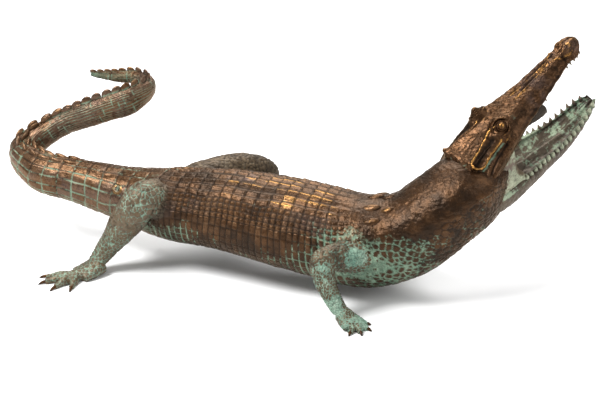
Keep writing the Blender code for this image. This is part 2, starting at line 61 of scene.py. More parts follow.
THOUSANDTH = 0.745 / 1065
SHIFT = np.array((0.008045, -0.074850, -0.0016))
UP = np.array((0.0, 0.0, 1.0))
MARKS = ("groove", "wear", "green", "net", "tone_and_painted_light")
NODE = "crocodile"
TRUNK_BANDS = 17
TAIL_WHORLS = 34


# Shapes of numbers
def unit(vectors: np.ndarray) -> np.ndarray:
    """The vectors at a length of one."""
    return vectors / np.maximum(np.linalg.norm(vectors, axis=-1, keepdims=True), 1e-12)


def smooth(low: float, high: float, value: np.ndarray) -> np.ndarray:
    """A soft step: 0 below low, 1 above high, an S between."""
    t = np.clip((value - low) / (high - low), 0.0, 1.0)
    return t * t * (3.0 - 2.0 * t)


def bell(value: np.ndarray, middle: float | np.ndarray, reach: float) -> np.ndarray:
    """A rounded hump: e to the minus square of the distance from the middle over the reach."""
    return np.exp(-(((value - middle) / reach) ** 2))


def far_from(points: np.ndarray, spot: tuple) -> np.ndarray:
    """Distance of points from one spot."""
    return np.linalg.norm(points - np.array(spot), axis=-1)


def section(*pairs: tuple) -> np.ndarray:
    """Control points of half sections: rings by pairs by two, from (right, up) pairs of columns."""
    return np.stack([np.stack(pair, -1) for pair in pairs], axis=1)


def way_along(points: np.ndarray) -> np.ndarray:
    """Distance along a line of points, at each of them."""
    return np.concatenate([[0.0], np.cumsum(np.linalg.norm(np.diff(points, axis=0), axis=1))])


def through(knots: np.ndarray, values: np.ndarray, at: np.ndarray) -> np.ndarray:
    """A smooth curve through values at knots: a cubic between each two, with shared slopes.

    Args:
        knots: places of the values, rising.
        values: one row for each knot.
        at: places where the curve is read.

    Returns:
        One row for each place.
    """
    knots = np.asarray(knots, float)
    values = np.asarray(values, float)
    slopes = np.gradient(values, knots, axis=0)
    i = np.clip(np.searchsorted(knots, at, side="right") - 1, 0, len(knots) - 2)
    step = (knots[i + 1] - knots[i])[:, None]
    t = (np.asarray(at) - knots[i])[:, None] / step
    return (
        (2 * t**3 - 3 * t**2 + 1) * values[i]
        + (t**3 - 2 * t**2 + t) * step * slopes[i]
        + (3 * t**2 - 2 * t**3) * values[i + 1]
        + (t**3 - t**2) * step * slopes[i + 1]
    )


def eased(ways: np.ndarray, at: np.ndarray, reach: np.ndarray) -> np.ndarray:
    """Directions averaged over a reach along the line, so that sections don't cross in a tight bend."""
    near = np.clip(1.0 - np.abs(at[:, None] - at[None, :]) / reach[:, None], 0.0, None)
    return unit((near * np.gradient(at)[None, :]) @ ways)


def rounded(angle: np.ndarray, power: float = 2.25) -> tuple[np.ndarray, np.ndarray]:
    """Sideways and upward shares of a rounded section: sine and cosine to the power two over power."""
    sideways, upward = np.sin(angle), np.cos(angle)
    bend = 2.0 / power
    return np.sign(sideways) * np.abs(sideways) ** bend, np.sign(upward) * np.abs(upward) ** bend


def scattered(keys: np.ndarray, salt: int) -> np.ndarray:
    """A number from 0 to 1 for each row of whole numbers, mixed by multiplying and folding bits."""
    mixed = np.full(keys.shape[:-1], np.uint32(salt * 2654435761 % 2**32), np.uint32)
    for axis, odd in enumerate((73856093, 19349663, 83492791)[: keys.shape[-1]]):
        mixed = mixed ^ (keys[..., axis].astype(np.int64) * odd % 2**32).astype(np.uint32)
        mixed = (mixed ^ (mixed >> np.uint32(15))) * np.uint32(2246822519)
    mixed = mixed ^ (mixed >> np.uint32(13))
    return mixed.astype(float) / 2**32


def mottle(points: np.ndarray, size: float, salt: int = 1) -> np.ndarray:
    """Soft random patches from 0 to 1: random corners of cubes of that size, blended between them."""
    place = points / size
    low = np.floor(place)
    t = place - low
    t = t * t * (3.0 - 2.0 * t)
    total = np.zeros(points.shape[:-1])
    for corner in range(8):
        step = np.array([(corner >> axis) & 1 for axis in range(3)])
        share = np.prod(np.where(step, t, 1.0 - t), axis=-1)
        total += share * scattered((low + step).astype(np.int64), salt)
    return total


def pebbles(points: np.ndarray, size: float, salt: int = 1) -> tuple[np.ndarray, np.ndarray]:
    """Irregular many-sided scales: each point belongs to the nearest of the seeds thrown in cubes.

    Args:
        points: places on the skin.
        size: mean width of a scale.
        salt: picks another throw.

    Returns:
        Distance from the border with the next scale, as a share of the size, and a number from 0
        to 1 that differs from scale to scale.
    """
    place = points / size
    cube = np.floor(place)
    nearest = np.full(points.shape[:-1], 9.0)
    second = nearest.copy()
    owner = np.zeros(points.shape[:-1])
    for step in np.ndindex(3, 3, 3):
        key = (cube + np.array(step) - 1).astype(np.int64)
        throw = np.stack([scattered(key, salt + axis) for axis in range(3)], axis=-1)
        far = np.linalg.norm(key + 0.15 + 0.7 * throw - place, axis=-1)
        closer = far < nearest
        second = np.where(closer, nearest, np.minimum(second, far))
        owner = np.where(closer, throw[..., 0], owner)
        nearest = np.where(closer, far, nearest)
    return second - nearest, owner


# Meshes
@dataclass
class Skin:
    """A surface as corners, faces of four or three corners, and marks at its corners."""

    corners: np.ndarray
    quads: np.ndarray
    tris: np.ndarray
    marks: dict[str, np.ndarray] = field(default_factory=dict)

    def closed_volume(self) -> float:
        """Signed volume: a sixth of the triple products of all its triangles."""
        halves = [self.quads[:, [0, 1, 2]], self.quads[:, [0, 2, 3]], self.tris]
        faces = np.concatenate([half for half in halves if len(half)])
        a, b, c = (self.corners[faces[:, i]] for i in range(3))
        return float(np.einsum("ij,ij->i", a, np.cross(b, c)).sum() / 6.0)

    def outward(self) -> Skin:
        """The same skin with its faces turned to point outwards."""
        if self.closed_volume() < 0:
            self.quads = self.quads[:, ::-1]
            self.tris = self.tris[:, ::-1]
        return self


def grid_skin(points: np.ndarray, start: np.ndarray | None = None, end: np.ndarray | None = None) -> Skin:
    """A closed skin over rings: each ring joins the next, and each end is drawn to a pole.

    Args:
        points: rings by places round a ring by three.
        start: pole before the first ring, by default the middle of that ring.
        end: pole after the last ring, by default the middle of that ring.

    Returns:
        The skin, its corners ring by ring with the two poles last.
    """
    rings, around = points.shape[:2]
    start = points[0].mean(axis=0) if start is None else start
    end = points[-1].mean(axis=0) if end is None else end
    index = np.arange(rings * around).reshape(rings, around)
    after = np.roll(index, -1, axis=1)
    quads = np.stack([index[:-1], after[:-1], after[1:], index[1:]], axis=-1).reshape(-1, 4)
    first = np.stack([np.full(around, rings * around), after[0], index[0]], axis=-1)
    last = np.stack([np.full(around, rings * around + 1), index[-1], after[-1]], axis=-1)
    corners = np.concatenate([points.reshape(-1, 3), [start], [end]])
    return Skin(corners, quads, np.concatenate([first, last]))


def with_marks(skin: Skin, marks: dict[str, np.ndarray | float]) -> Skin:
    """The skin with marks given on its rings, or as one number; each pole takes the mean of all."""
    for name in MARKS:
        flat = np.broadcast_to(np.ravel(marks.get(name, 0.0)), (len(skin.corners) - 2,)).astype(float)
        skin.marks[name] = np.concatenate([flat, [flat.mean()] * 2])
    return skin


def merged(skins: list[Skin]) -> Skin:
    """Several skins as one, each keeping its own marks."""
    starts = np.cumsum([0] + [len(skin.corners) for skin in skins])
    marks = {name: np.concatenate([skin.marks[name] for skin in skins]) for name in skins[0].marks}
    return Skin(
        np.concatenate([skin.corners for skin in skins]),
        np.concatenate([skin.quads + start for skin, start in zip(skins, starts)]),
        np.concatenate([skin.tris + start for skin, start in zip(skins, starts)]),
        marks,
    )


def grid_normals(points: np.ndarray) -> np.ndarray:
    """Normals of a ring grid: cross product of the way along and the way round, pointing out."""
    around = np.roll(points, -1, axis=1) - np.roll(points, 1, axis=1)
    along = np.gradient(points, axis=0)
    normals = unit(np.cross(around, along))
    out = points - points.mean(axis=1, keepdims=True)
    return normals * (1.0 if (normals * out).sum() > 0 else -1.0)


def to_object(name: str, skin: Skin, material: bpy.types.Material) -> bpy.types.Object:
    """Puts a skin into the scene as a smooth mesh with its marks, riding on the casting."""
    mesh = bpy.data.meshes.new(name)
    loops = np.concatenate([skin.quads.ravel(), skin.tris.ravel()]).astype(np.int32)
    sizes = np.concatenate([np.full(len(skin.quads), 4), np.full(len(skin.tris), 3)])
    mesh.vertices.add(len(skin.corners))
    mesh.vertices.foreach_set("co", skin.corners.astype(np.float32).ravel())
    mesh.loops.add(len(loops))
    mesh.loops.foreach_set("vertex_index", loops)
    mesh.polygons.add(len(sizes))
    mesh.polygons.foreach_set("loop_start", np.concatenate([[0], np.cumsum(sizes)[:-1]]).astype(np.int32))
    mesh.update(calc_edges=True)
    mesh.validate()
    for mark in MARKS:
        values = skin.marks.get(mark, np.zeros(len(skin.corners)))
        layer = mesh.attributes.new(mark, "FLOAT", "POINT")
        layer.data.foreach_set("value", np.clip(values, 0.0, 1.0).astype(np.float32))
    mesh.materials.append(material)
    mesh.shade_smooth()
    piece = bpy.data.objects.new(name, mesh)
    bpy.context.scene.collection.objects.link(piece)
    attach(piece, "root")
    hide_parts(NODE)
    log.info("%s: %d faces", name, len(sizes))
    return piece


# Finishes
class Graph:
    """A material's nodes, with short ways to add the ones used here."""

    def __init__(self, name: str) -> None:
        """Starts an empty surface of that name."""
        self.material = bpy.data.materials.new(name)
        self.material.use_nodes = True
        self.nodes = self.material.node_tree.nodes
        self.links = self.material.node_tree.links
        self.surface = self.nodes["Principled BSDF"]
        self.place = self.nodes.new("ShaderNodeTexCoord").outputs["Object"]

    def plug(self, value: object, socket: bpy.types.NodeSocket) -> None:
        """Joins an output to a socket, or sets the socket to a number or colour."""
        if isinstance(value, bpy.types.NodeSocket):
            self.links.new(value, socket)
        else:
            socket.default_value = value

    def mark(self, name: str) -> bpy.types.NodeSocket:
        """A mark carried by the skin."""
        node = self.nodes.new("ShaderNodeAttribute")
        node.attribute_name = name
        return node.outputs["Fac"]

    def noise(self, scale: float, detail: float = 4.0, roughness: float = 0.6) -> bpy.types.NodeSocket:
        """Clouds of that many to the metre, on the object's own coordinates."""
        node = self.nodes.new("ShaderNodeTexNoise")
        node.inputs["Scale"].default_value = scale
        node.inputs["Detail"].default_value = detail
        node.inputs["Roughness"].default_value = roughness
        self.links.new(self.place, node.inputs["Vector"])
        return node.outputs["Fac"]

    def math(self, kind: str, a: object, b: object = 0.0, c: object = 0.0) -> bpy.types.NodeSocket:
        """One sum on up to three numbers."""
        node = self.nodes.new("ShaderNodeMath")
        node.operation = kind
        for value, socket in zip((a, b, c), node.inputs):
            self.plug(value, socket)
        return node.outputs[0]

    def about(self, value: object) -> bpy.types.NodeSocket:
        """The value less a half, so that it lies about zero."""
        return self.math("SUBTRACT", value, 0.5)

    def step(self, value: object, low: float, high: float, to: float = 1.0) -> bpy.types.NodeSocket:
        """A soft step of the value from low to high, scaled to the number given."""
        node = self.nodes.new("ShaderNodeMapRange")
        node.interpolation_type = "SMOOTHSTEP"
        for socket, number in zip(("From Min", "From Max", "To Min", "To Max"), (low, high, 0.0, to)):
            node.inputs[socket].default_value = number
        self.plug(value, node.inputs["Value"])
        return node.outputs["Result"]

    def mix(self, share: object, a: object, b: object, kind: str = "MIX") -> bpy.types.NodeSocket:
        """Colour a turning to colour b by a share."""
        node = self.nodes.new("ShaderNodeMix")
        node.data_type = "RGBA"
        node.blend_type = kind
        self.plug(share, node.inputs[0])
        self.plug(a, node.inputs[6])
        self.plug(b, node.inputs[7])
        return node.outputs[2]


Colour = tuple[float, float, float, float]


@dataclass(frozen=True)
class Patina:
    """Bronze under a brown patina: dark or green grooves, rubbed gold ridges, patches of verdigris."""

    name: str
    dark: Colour = (0.016, 0.008, 0.004, 1.0)
    brown: Colour = (0.078, 0.034, 0.012, 1.0)
    plum: Colour = (0.040, 0.030, 0.032, 1.0)
    sheen: Colour = (0.170, 0.098, 0.052, 1.0)
    dust: Colour = (0.240, 0.172, 0.125, 1.0)
    gold: Colour = (0.260, 0.136, 0.042, 1.0)
    pit: Colour = (0.007, 0.005, 0.004, 1.0)
    turquoise: Colour = (0.060, 0.170, 0.118, 1.0)
    pale: Colour = (0.210, 0.320, 0.225, 1.0)
    chalk: Colour = (0.520, 0.580, 0.470, 1.0)
    edge: Colour = (0.90, 0.74, 0.60, 1.0)
    roughness: float = 0.28
    metallic: float = 0.64
    gold_from: float = 0.46
    green_from: float = 0.66
    plum_share: float = 0.60
    gilt_share: float = 0.72
    sheen_share: float = 0.40

    def material(self) -> bpy.types.Material:
        """Builds the finish.

        Returns:
            A material whose brown is clouded, tinted scale by scale and blotched with plum, and
            turns to pale dust where the tone mark is past nine tenths. The tone mark also carries painted
            shade on the lower sides and painted highlights on the pillow scales. Grooves are dark, or green
            where the net mark is high; the groove mark also carries painted shade in some creases and gaps.
            Skin turns to verdigris by the green mark and gold by the wear mark, each broken up by clouds and
            flecks. Rubbed metal is smoother, verdigris rougher and no metal, and fine grain stands as bump.
        """
        g = Graph(self.name)
        groove, wear, green, net, tone_and_painted_light = (g.mark(mark) for mark in MARKS)
        blotches, clouds = g.noise(13.0, 3.0), g.noise(34.0, 5.0)
        flecks, grain = g.noise(230.0, 4.0, 0.65), g.noise(720.0, 3.0, 0.7)
        cloud, fleck = g.about(clouds), g.about(flecks)
        shade = g.math("ADD", g.math("MULTIPLY", clouds, 0.80), g.math("MULTIPLY", tone_and_painted_light, 0.34))
        colour = g.mix(g.step(shade, 0.26, 0.80), self.dark, self.brown)
        plum = g.math("ADD", blotches, g.math("MULTIPLY", g.about(tone_and_painted_light), 0.30))
        colour = g.mix(g.step(plum, 0.58, 0.68, self.plum_share), colour, self.plum)
        gleam = g.math("ADD", g.math("MULTIPLY", flecks, 0.85), g.math("MULTIPLY", tone_and_painted_light, 0.40))
        colour = g.mix(g.step(gleam, 0.56, 0.92, self.sheen_share), colour, self.sheen)
        dusty = g.step(tone_and_painted_light, 0.90, 1.55, 0.85)
        colour = g.mix(dusty, colour, self.dust)
        specks = g.math("ADD", g.math("MULTIPLY", fleck, 0.70), g.math("MULTIPLY", cloud, 0.60))
        rub = g.math("ADD", wear, specks)
        gilt = g.step(rub, self.gold_from, self.gold_from + 0.34, self.gilt_share)
        colour = g.mix(gilt, colour, self.gold)
        broken = g.math("ADD", g.math("MULTIPLY", cloud, 1.30), g.math("MULTIPLY", fleck, 1.30))
        crust = g.step(g.math("ADD", green, broken), self.green_from, self.green_from + 0.24)
        in_net = g.step(g.math("ADD", net, broken), 0.42, 0.66)
        chalky = g.math("ADD", g.math("MULTIPLY", grain, 0.8), g.math("MULTIPLY", clouds, 0.6))
        chalky = g.math("ADD", chalky, g.math("MULTIPLY", dusty, 0.28))
        verdigris = g.mix(g.step(chalky, 0.52, 0.80), self.turquoise, self.pale)
        verdigris = g.mix(g.step(chalky, 0.78, 0.98, 0.8), verdigris, self.chalk)
        colour = g.mix(g.math("MULTIPLY", groove, 0.90), colour, g.mix(in_net, self.pit, verdigris))
        colour = g.mix(g.math("MULTIPLY", crust, 0.92), colour, verdigris)
        green_groove = g.math("MULTIPLY", g.math("MULTIPLY", groove, 0.90), in_net)
        covered = g.math("MAXIMUM", crust, green_groove)
        colour = g.mix(g.math("MULTIPLY", g.math("MULTIPLY", groove, crust), 0.55), colour, self.pit)
        g.plug(colour, g.surface.inputs["Base Color"])
        metal = g.math("ADD", self.metallic, g.math("MULTIPLY", gilt, 0.92 - self.metallic))
        metal = g.math("MULTIPLY", metal, g.math("SUBTRACT", 1.0, g.math("MULTIPLY", dusty, 0.6)))
        g.plug(g.math("MULTIPLY", metal, g.math("SUBTRACT", 1.0, covered)), g.surface.inputs["Metallic"])
        g.plug(self.edge, g.surface.inputs["Specular Tint"])
        rough = g.math("ADD", g.math("MULTIPLY", flecks, 0.24), self.roughness - 0.12)
        rough = g.math("SUBTRACT", rough, g.math("MULTIPLY", gilt, 0.08))
        rough = g.math("ADD", rough, g.math("MULTIPLY", covered, 0.34))
        g.plug(g.math("ADD", rough, g.math("MULTIPLY", groove, 0.2)), g.surface.inputs["Roughness"])
        bump = g.nodes.new("ShaderNodeBump")
        bump.inputs["Strength"].default_value = 0.45
        bump.inputs["Distance"].default_value = 0.0007
        g.links.new(g.math("ADD", grain, flecks), bump.inputs["Height"])
        g.links.new(bump.outputs["Normal"], g.surface.inputs["Normal"])
        return g.material


SCUTE_PATINA = Patina("scute_patina")
LIMB_PATINA = Patina(
    "limb_patina",
    dark=(0.018, 0.013, 0.008, 1.0),
    brown=(0.088, 0.060, 0.034, 1.0),
    plum=(0.045, 0.036, 0.028, 1.0),
    sheen=(0.180, 0.140, 0.090, 1.0),
    turquoise=(0.070, 0.185, 0.140, 1.0),
    pale=(0.230, 0.350, 0.270, 1.0),
    metallic=0.40,
    roughness=0.42,
)
HEAD_PATINA = Patina(
    "head_patina",
    dark=(0.020, 0.011, 0.006, 1.0),
    brown=(0.066, 0.030, 0.012, 1.0),
    plum=(0.046, 0.033, 0.031, 1.0),
    sheen=(0.190, 0.105, 0.060, 1.0),
    gold=(0.460, 0.230, 0.065, 1.0),
    metallic=0.85,
    roughness=0.27,
    gilt_share=0.95,
    green_from=0.70,
    gold_from=0.56,
)
MOUTH_PATINA = Patina(
    "mouth_patina",
    dark=(0.026, 0.021, 0.015, 1.0),
    brown=(0.090, 0.068, 0.046, 1.0),
    plum=(0.060, 0.052, 0.048, 1.0),
    sheen=(0.150, 0.135, 0.105, 1.0),
    pale=(0.310, 0.380, 0.260, 1.0),
    turquoise=(0.080, 0.180, 0.130, 1.0),
    metallic=0.35,
    roughness=0.44,
)
TOOTH_PATINA = Patina(
    "tooth_patina",
    dark=(0.050, 0.042, 0.028, 1.0),
    brown=(0.150, 0.120, 0.080, 1.0),
    plum=(0.110, 0.090, 0.085, 1.0),
    turquoise=(0.200, 0.235, 0.165, 1.0),
    pale=(0.420, 0.450, 0.320, 1.0),
    chalk=(0.680, 0.700, 0.560, 1.0),
    metallic=0.2,
    roughness=0.42,
)


# Tail, trunk and neck
@dataclass
class Body:
    """The long skin from the tail's tip to the throat, cut by whorls and bands of scutes.

    The spine's rows are x, y, z, half width, rise and drop in thousandths, from the tail's tip to
    a place inside the head. Spots are places in metres. A crest is pairs of a share of the tail and
    a share of the crest's height.
    """

    spine: tuple = (
        (-395, 367, 283, 3, 5, 4),
        (-349, 364, 279, 7, 10, 10),
        (-307, 354, 280, 10, 13, 14),
        (-281, 326, 273, 12, 17, 20),
        (-304, 296, 259, 13, 25, 24),
        (-375, 294, 232, 15, 24, 22),
        (-461, 309, 194, 20, 23, 22),
        (-513, 292, 161, 29, 27, 28),
        (-480, 233, 141, 34, 34, 36),
        (-403, 206, 129, 40, 39, 40),
        (-319, 182, 115, 51, 47, 48),
        (-244, 155, 106, 71, 62, 56),
        (-124, 107, 107, 85, 73, 61),
        (17, 48, 102, 90, 76, 74),
        (114, 10, 102, 82, 72, 85),
        (177, -10, 123, 71, 62, 84),
        (237, -17, 170, 65, 55, 86),
        (285, -3, 208, 60, 47, 92),
        (315, 24, 226, 50, 28, 82),
        (345, 44, 240, 30, 8, 42),
    )
    slot: tuple = (-0.2177, 0.0416, 0.1103)
    rust_ring: tuple = (-0.2208, 0.0210, 0.0963)
    plum_spots: tuple = ((-0.1225, -0.0075, 0.1180), (-0.0450, -0.0600, 0.1130))
    rubbed_spots: tuple = ((-0.0675, -0.0394, 0.1190), (0.0021, -0.0728, 0.1158))
    hips: int = 11
    shoulder: int = 14
    steps: int = 1100
    head_top: tuple = (-0.476, -0.504, 0.721)
    groove_depth: float = 0.0010
    groove_half: float = 0.00085
    keel_height: float = 0.0016
    crest_height: float = 0.0088
    twin_crest: tuple = (
        (0.0, 0.0), (0.36, 0.0), (0.44, 0.62), (0.54, 0.52),
        (0.64, 0.38), (0.74, 0.24), (0.80, 0.0), (1.0, 0.0),
    )
    single_crest: tuple = (
        (0.0, 0.2), (0.09, 0.42), (0.20, 0.72), (0.36, 0.85), (0.45, 0.45), (0.48, 0.0), (1.0, 0.0),
    )

    def __post_init__(self) -> None:
        """Works out the centre line, its frames and the edges of whorls and bands."""
        table = np.array(self.spine, float) * THOUSANDTH
        self.knots = way_along(table[:, :3])
        self.at = np.linspace(0.0, self.knots[-1], self.steps)
        self.width, self.rise, self.drop = through(self.knots, table[:, 3:], self.at).T
        self.line = through(self.knots, table[:, :3], self.at)
        ways = unit(np.gradient(self.line, self.at, axis=0))
        self.along = eased(ways, self.at, 2.0 * self.width + 1e-6)
        bend = (self.at - self.knots[self.shoulder]) / (self.knots[-3] - self.knots[self.shoulder])
        lean = np.clip(bend, 0, 1)[:, None]
        back = (1 - lean) * UP + lean * unit(np.array(self.head_top))
        self.back = unit(back - (back * self.along).sum(1, keepdims=True) * self.along)
        self.right = np.cross(self.along, self.back)
        self.line = self.line + SHIFT
        growth = np.linspace(0.62, 1.38, TAIL_WHORLS)
        end = self.knots[self.hips]
        self.whorls = np.concatenate([[0.0], np.cumsum(growth) * end / growth.sum()])
        self.bands = np.linspace(end, self.knots[self.shoulder], TRUNK_BANDS + 1)

    def rings(self, at: np.ndarray, angles: np.ndarray) -> np.ndarray:
        """Plain form: an oval ring square to the centre line at each place.

        Args:
            at: places along the centre line.
            angles: angles round a ring, from the middle of the back towards the right side.

        Returns:
            Rings by angles by three. Sideways is the half width by the rounded sine; up is the rise
            (above) or the drop (below) by the rounded cosine.
        """
        def read(values: np.ndarray) -> np.ndarray:
            """The values at the places, straight between samples."""
            flat = values.reshape(len(self.at), -1)
            out = np.stack([np.interp(at, self.at, column) for column in flat.T], axis=-1)
            return out if values.ndim > 1 else out[:, 0]

        sideways, upward = rounded(angles)
        width, rise, drop = read(self.width), read(self.rise), read(self.drop)
        reach = np.where(upward > 0, rise[:, None], drop[:, None]) * upward
        spread = width[:, None] * sideways
        right, back = unit(read(self.right)), unit(read(self.back))
        centre = read(self.line)[:, None]
        return centre + right[:, None] * spread[..., None] + back[:, None] * reach[..., None]

    def gap(self, points: np.ndarray) -> np.ndarray:
        """Rough distance of points outside the plain form, negative inside it."""
        shape = points.shape[:-1]
        flat = points.reshape(-1, 3)
        every = slice(None, None, 8)
        line = self.line[every]
        near = np.linalg.norm(flat[:, None] - line[None], axis=-1).argmin(axis=1)
        off = flat - line[near]
        side = (off * self.right[every][near]).sum(1)
        up = (off * self.back[every][near]).sum(1)
        tall = np.where(up > 0, self.rise[every][near], self.drop[every][near])
        wide = self.width[every][near]
        size = np.hypot(side, up)
        reach = size / np.maximum(np.hypot(side / wide, up / tall), 1e-6)
        return (size - reach).reshape(shape)

    @staticmethod
    def plates(row: np.ndarray, column: np.ndarray, long: np.ndarray, wide: np.ndarray) -> tuple:
        """Plates in rows and columns.

        Args:
            row: row number with its fraction.
            column: column number with its fraction.
            long: length of a row in metres.
            wide: width of a column in metres.

        Returns:
            Distance from the nearest edge in metres, shares along and across the plate, and a
            number from 0 to 1 for each plate.
        """
        fu, fv = row - np.floor(row), column - np.floor(column)
        du, dv = np.minimum(fu, 1 - fu) * long, np.minimum(fv, 1 - fv) * wide
        edge = (np.maximum(du, 1e-5) ** -3.0 + np.maximum(dv, 1e-5) ** -3.0) ** (-1 / 3)
        own = scattered(np.stack([np.floor(row), np.floor(column)], axis=-1).astype(np.int64), 7)
        return edge, fu, fv, own

    def whorl_plates(
        self, place: np.ndarray, turn: np.ndarray, girth: np.ndarray, points: np.ndarray
    ) -> tuple:
        """Plates of the tail: rings at the whorls, and lines along it, closer low down and on the return.

        Args:
            place: places along the centre line.
            turn: degrees from the middle of the back.
            girth: half width there.
            points: the plain form there.

        Returns:
            Distance from the nearest groove in metres, and a number from 0 to 1 for each plate.
        """
        sway = 0.22 * (mottle(points, 0.026, 3) - 0.5)
        whorl = np.interp(place, self.whorls, np.arange(TAIL_WHORLS + 1.0)) + sway
        long = np.interp(place, self.whorls[:-1], np.diff(self.whorls))
        share = place / self.knots[self.hips]
        back_run = 1.0 - smooth(0.50, 0.62, share)
        spread = 12.0
        lean = (turn + 9.0 * (mottle(points, 0.020, 5) - 0.5)) / spread
        number = np.round(lean)
        across = np.abs(lean - number) * np.radians(spread) * girth
        odd = np.mod(number, 2.0)
        shown = np.maximum(back_run, smooth(96.0, 118.0, turn))
        across = across + 0.008 * odd * (1 - shown)
        half_line = np.abs(np.mod(whorl * 2.0, 1.0) - 0.5)
        ring = np.minimum(np.mod(whorl, 1.0), 1 - np.mod(whorl, 1.0)) * long
        between = (0.5 - half_line) * long / 2.0 + 0.006 * (1 - back_run * smooth(40.0, 70.0, turn))
        ring = np.minimum(ring, between)
        edge = (np.maximum(ring, 1e-5) ** -3.0 + np.maximum(across, 1e-5) ** -3.0) ** (-1 / 3)
        own = scattered(np.stack([np.floor(whorl), number], axis=-1).astype(np.int64), 7)
        return edge, own

    def scutes(self, at: np.ndarray, angles: np.ndarray, points: np.ndarray) -> tuple:
        """Relief and marks of the skin.

        Args:
            at: places along the centre line, one for each ring.
            angles: angles round a ring.
            points: the plain form there.

        Returns:
            Lift along the normal in metres, and the marks. Trunk: four columns of large keeled
            scutes a side, then four of small pillows, two rows to a band, then belly plates.
            Tail: whorls of plates. Neck: fine wrinkles on top, many-sided cells low down.
        """
        hips, shoulder = self.knots[self.hips], self.knots[self.shoulder]
        place = at[:, None] + 0.0 * angles[None, :]
        turn = np.degrees(np.minimum(angles, 2 * math.pi - angles))[None, :] + 0.0 * place
        near_side = np.where(angles < math.pi, 1.0, 0.0)[None, :] + 0.0 * place
        warp, waver = mottle(points, 0.030, 3) - 0.5, mottle(points, 0.022, 5) - 0.5
        girth = np.interp(at, self.at, self.width)[:, None]
        band = np.interp(place, self.bands, np.arange(TRUNK_BANDS + 1.0)) + 0.26 * warp
        band_long = (shoulder - hips) / TRUNK_BANDS
        scute_edges, pillow_edges = np.arange(0.0, 47.0, 11.5), [53.0, 60.0, 67.0, 74.0]
        edges = np.concatenate([scute_edges, pillow_edges, np.arange(84.6, 181.0, 10.6)])
        swung = turn + 4.0 * waver
        column = np.interp(swung, edges, np.arange(len(edges), dtype=float))
        wide = np.radians(np.interp(turn, edges[:-1], np.diff(edges))) * girth
        on_back = swung < 46.0
        rows = np.where(on_back, 1.0, 2.0)
        edge_t, fu, fv, own_t = self.plates(band * rows, column, band_long / rows, wide)
        flank = smooth(72.0, 80.0, swung)
        from_row = np.minimum(fu, 1 - fu) * band_long / 2
        edge_t = np.where(flank > 0.5, np.minimum(edge_t + 0.0003, from_row), edge_t)
        keel = np.where(on_back, bell(fv, 0.42, 0.20) * (0.40 + 0.60 * (1 - fu)), 0.0)
        pillow = smooth(44.0, 48.0, swung) * (1 - smooth(70.0, 78.0, swung))
        edge_w, own_w = self.whorl_plates(place, turn, girth, points)

        cell_size, wrinkle_size = 0.0078, 0.0036
        cells, own_p = pebbles(points, cell_size, 11)
        wrinkles, own_q = pebbles(points, wrinkle_size, 13)
        swayed = place + 0.030 * waver - 0.018 * bell(turn, 100.0, 40.0)
        to_neck = smooth(shoulder - 0.045, shoulder + 0.010, swayed)
        to_tail = 1.0 - smooth(hips - 0.004, hips + 0.004, place)
        celled = smooth(58.0, 84.0, turn + 30.0 * warp)
        in_tail = to_tail > 0.5
        edge = np.where(in_tail, edge_w, edge_t)
        edge_p = cells * cell_size * celled + (wrinkles * wrinkle_size + 0.0004) * (1 - celled)
        edge = edge * (1 - to_neck) + edge_p * to_neck
        own = np.where(in_tail, own_w, own_t)
        own = np.where(to_neck > 0.5, np.where(celled > 0.5, own_p, own_q), own)
        scale = np.clip(girth / 0.045, 0.40, 1.0)
        half = self.groove_half * (0.62 + 0.28 * scale) * (0.70 + 0.60 * mottle(points, 0.011, 17))
        root = bell(place, shoulder - 0.002, 0.046) * bell(turn, 96.0, 34.0)
        share = place / hips
        on_trunk = (1 - to_neck) * (1 - to_tail)
        on_tail = to_tail * (0.25 - 0.95 * smooth(0.60, 0.50, share))
        low_cells = 0.8 * to_neck * celled * bell(turn, 112.0, 26.0)
        half = half * (1 + 0.40 * pillow * on_trunk + on_tail + 0.9 * np.maximum(root, low_cells))
        plate = smooth(0.0, 2.0 * half, edge)
        lift = self.groove_depth * scale * (plate - 0.75) * (1 - 0.55 * to_neck * (1 - celled))
        lift += 0.0020 * pillow * smooth(0.0, 0.0036, edge) * on_trunk
        lift += self.keel_height * keel * on_trunk
        lift += 0.0007 * (own - 0.5) * scale * (1 - 0.6 * to_neck)
        lift += 0.0014 * (mottle(points, 0.05, 21) - 0.5) + 0.0007 * (mottle(points, 0.0035, 23) - 0.5)
        lift += 0.0006 * (mottle(points, 0.0090, 25) - 0.5)

        groove = (1.0 - smooth(0.25 * half, 1.35 * half, edge)) * (1.0 - 0.55 * to_neck * (1 - celled))
        below = smooth(62.0, 120.0, turn)
        front = smooth(hips + 0.13, shoulder - 0.01, place)
        neck_up = smooth(shoulder, shoulder + 0.11, place)
        back_run = 1.0 - smooth(0.50, 0.60, share)
        patch = mottle(points, 0.030, 33)
        net = 0.12 + 0.26 * below + 0.42 * below * front * smooth(100.0, 116.0, turn + 26.0 * front)
        net = np.where(in_tail, 0.40 + 0.24 * smooth(30.0, 66.0, turn) + 0.06 * back_run, net)
        net = net * (1 - to_neck) + to_neck * (0.60 * celled * (1 - 0.62 * smooth(0.45, 0.9, neck_up)) + 0.06)
        green = 0.02 + 0.08 * below * front
        in_patch = bell(share, 0.33, 0.08) * bell(turn, 42.0, 22.0)
        tail_green = 0.02 + 0.44 * in_patch + 0.34 * smooth(0.16, 0.08, share) * (patch - 0.3)
        green = np.where(in_tail, tail_green, green)
        rim = 1 - smooth(1.2 * half, 3.4 * half, edge)
        throat = to_neck * smooth(128.0, 160.0, turn) * (1 - neck_up)
        green = green + root * (0.30 + 0.30 * rim) + 0.24 * throat
        net = net + 0.45 * root
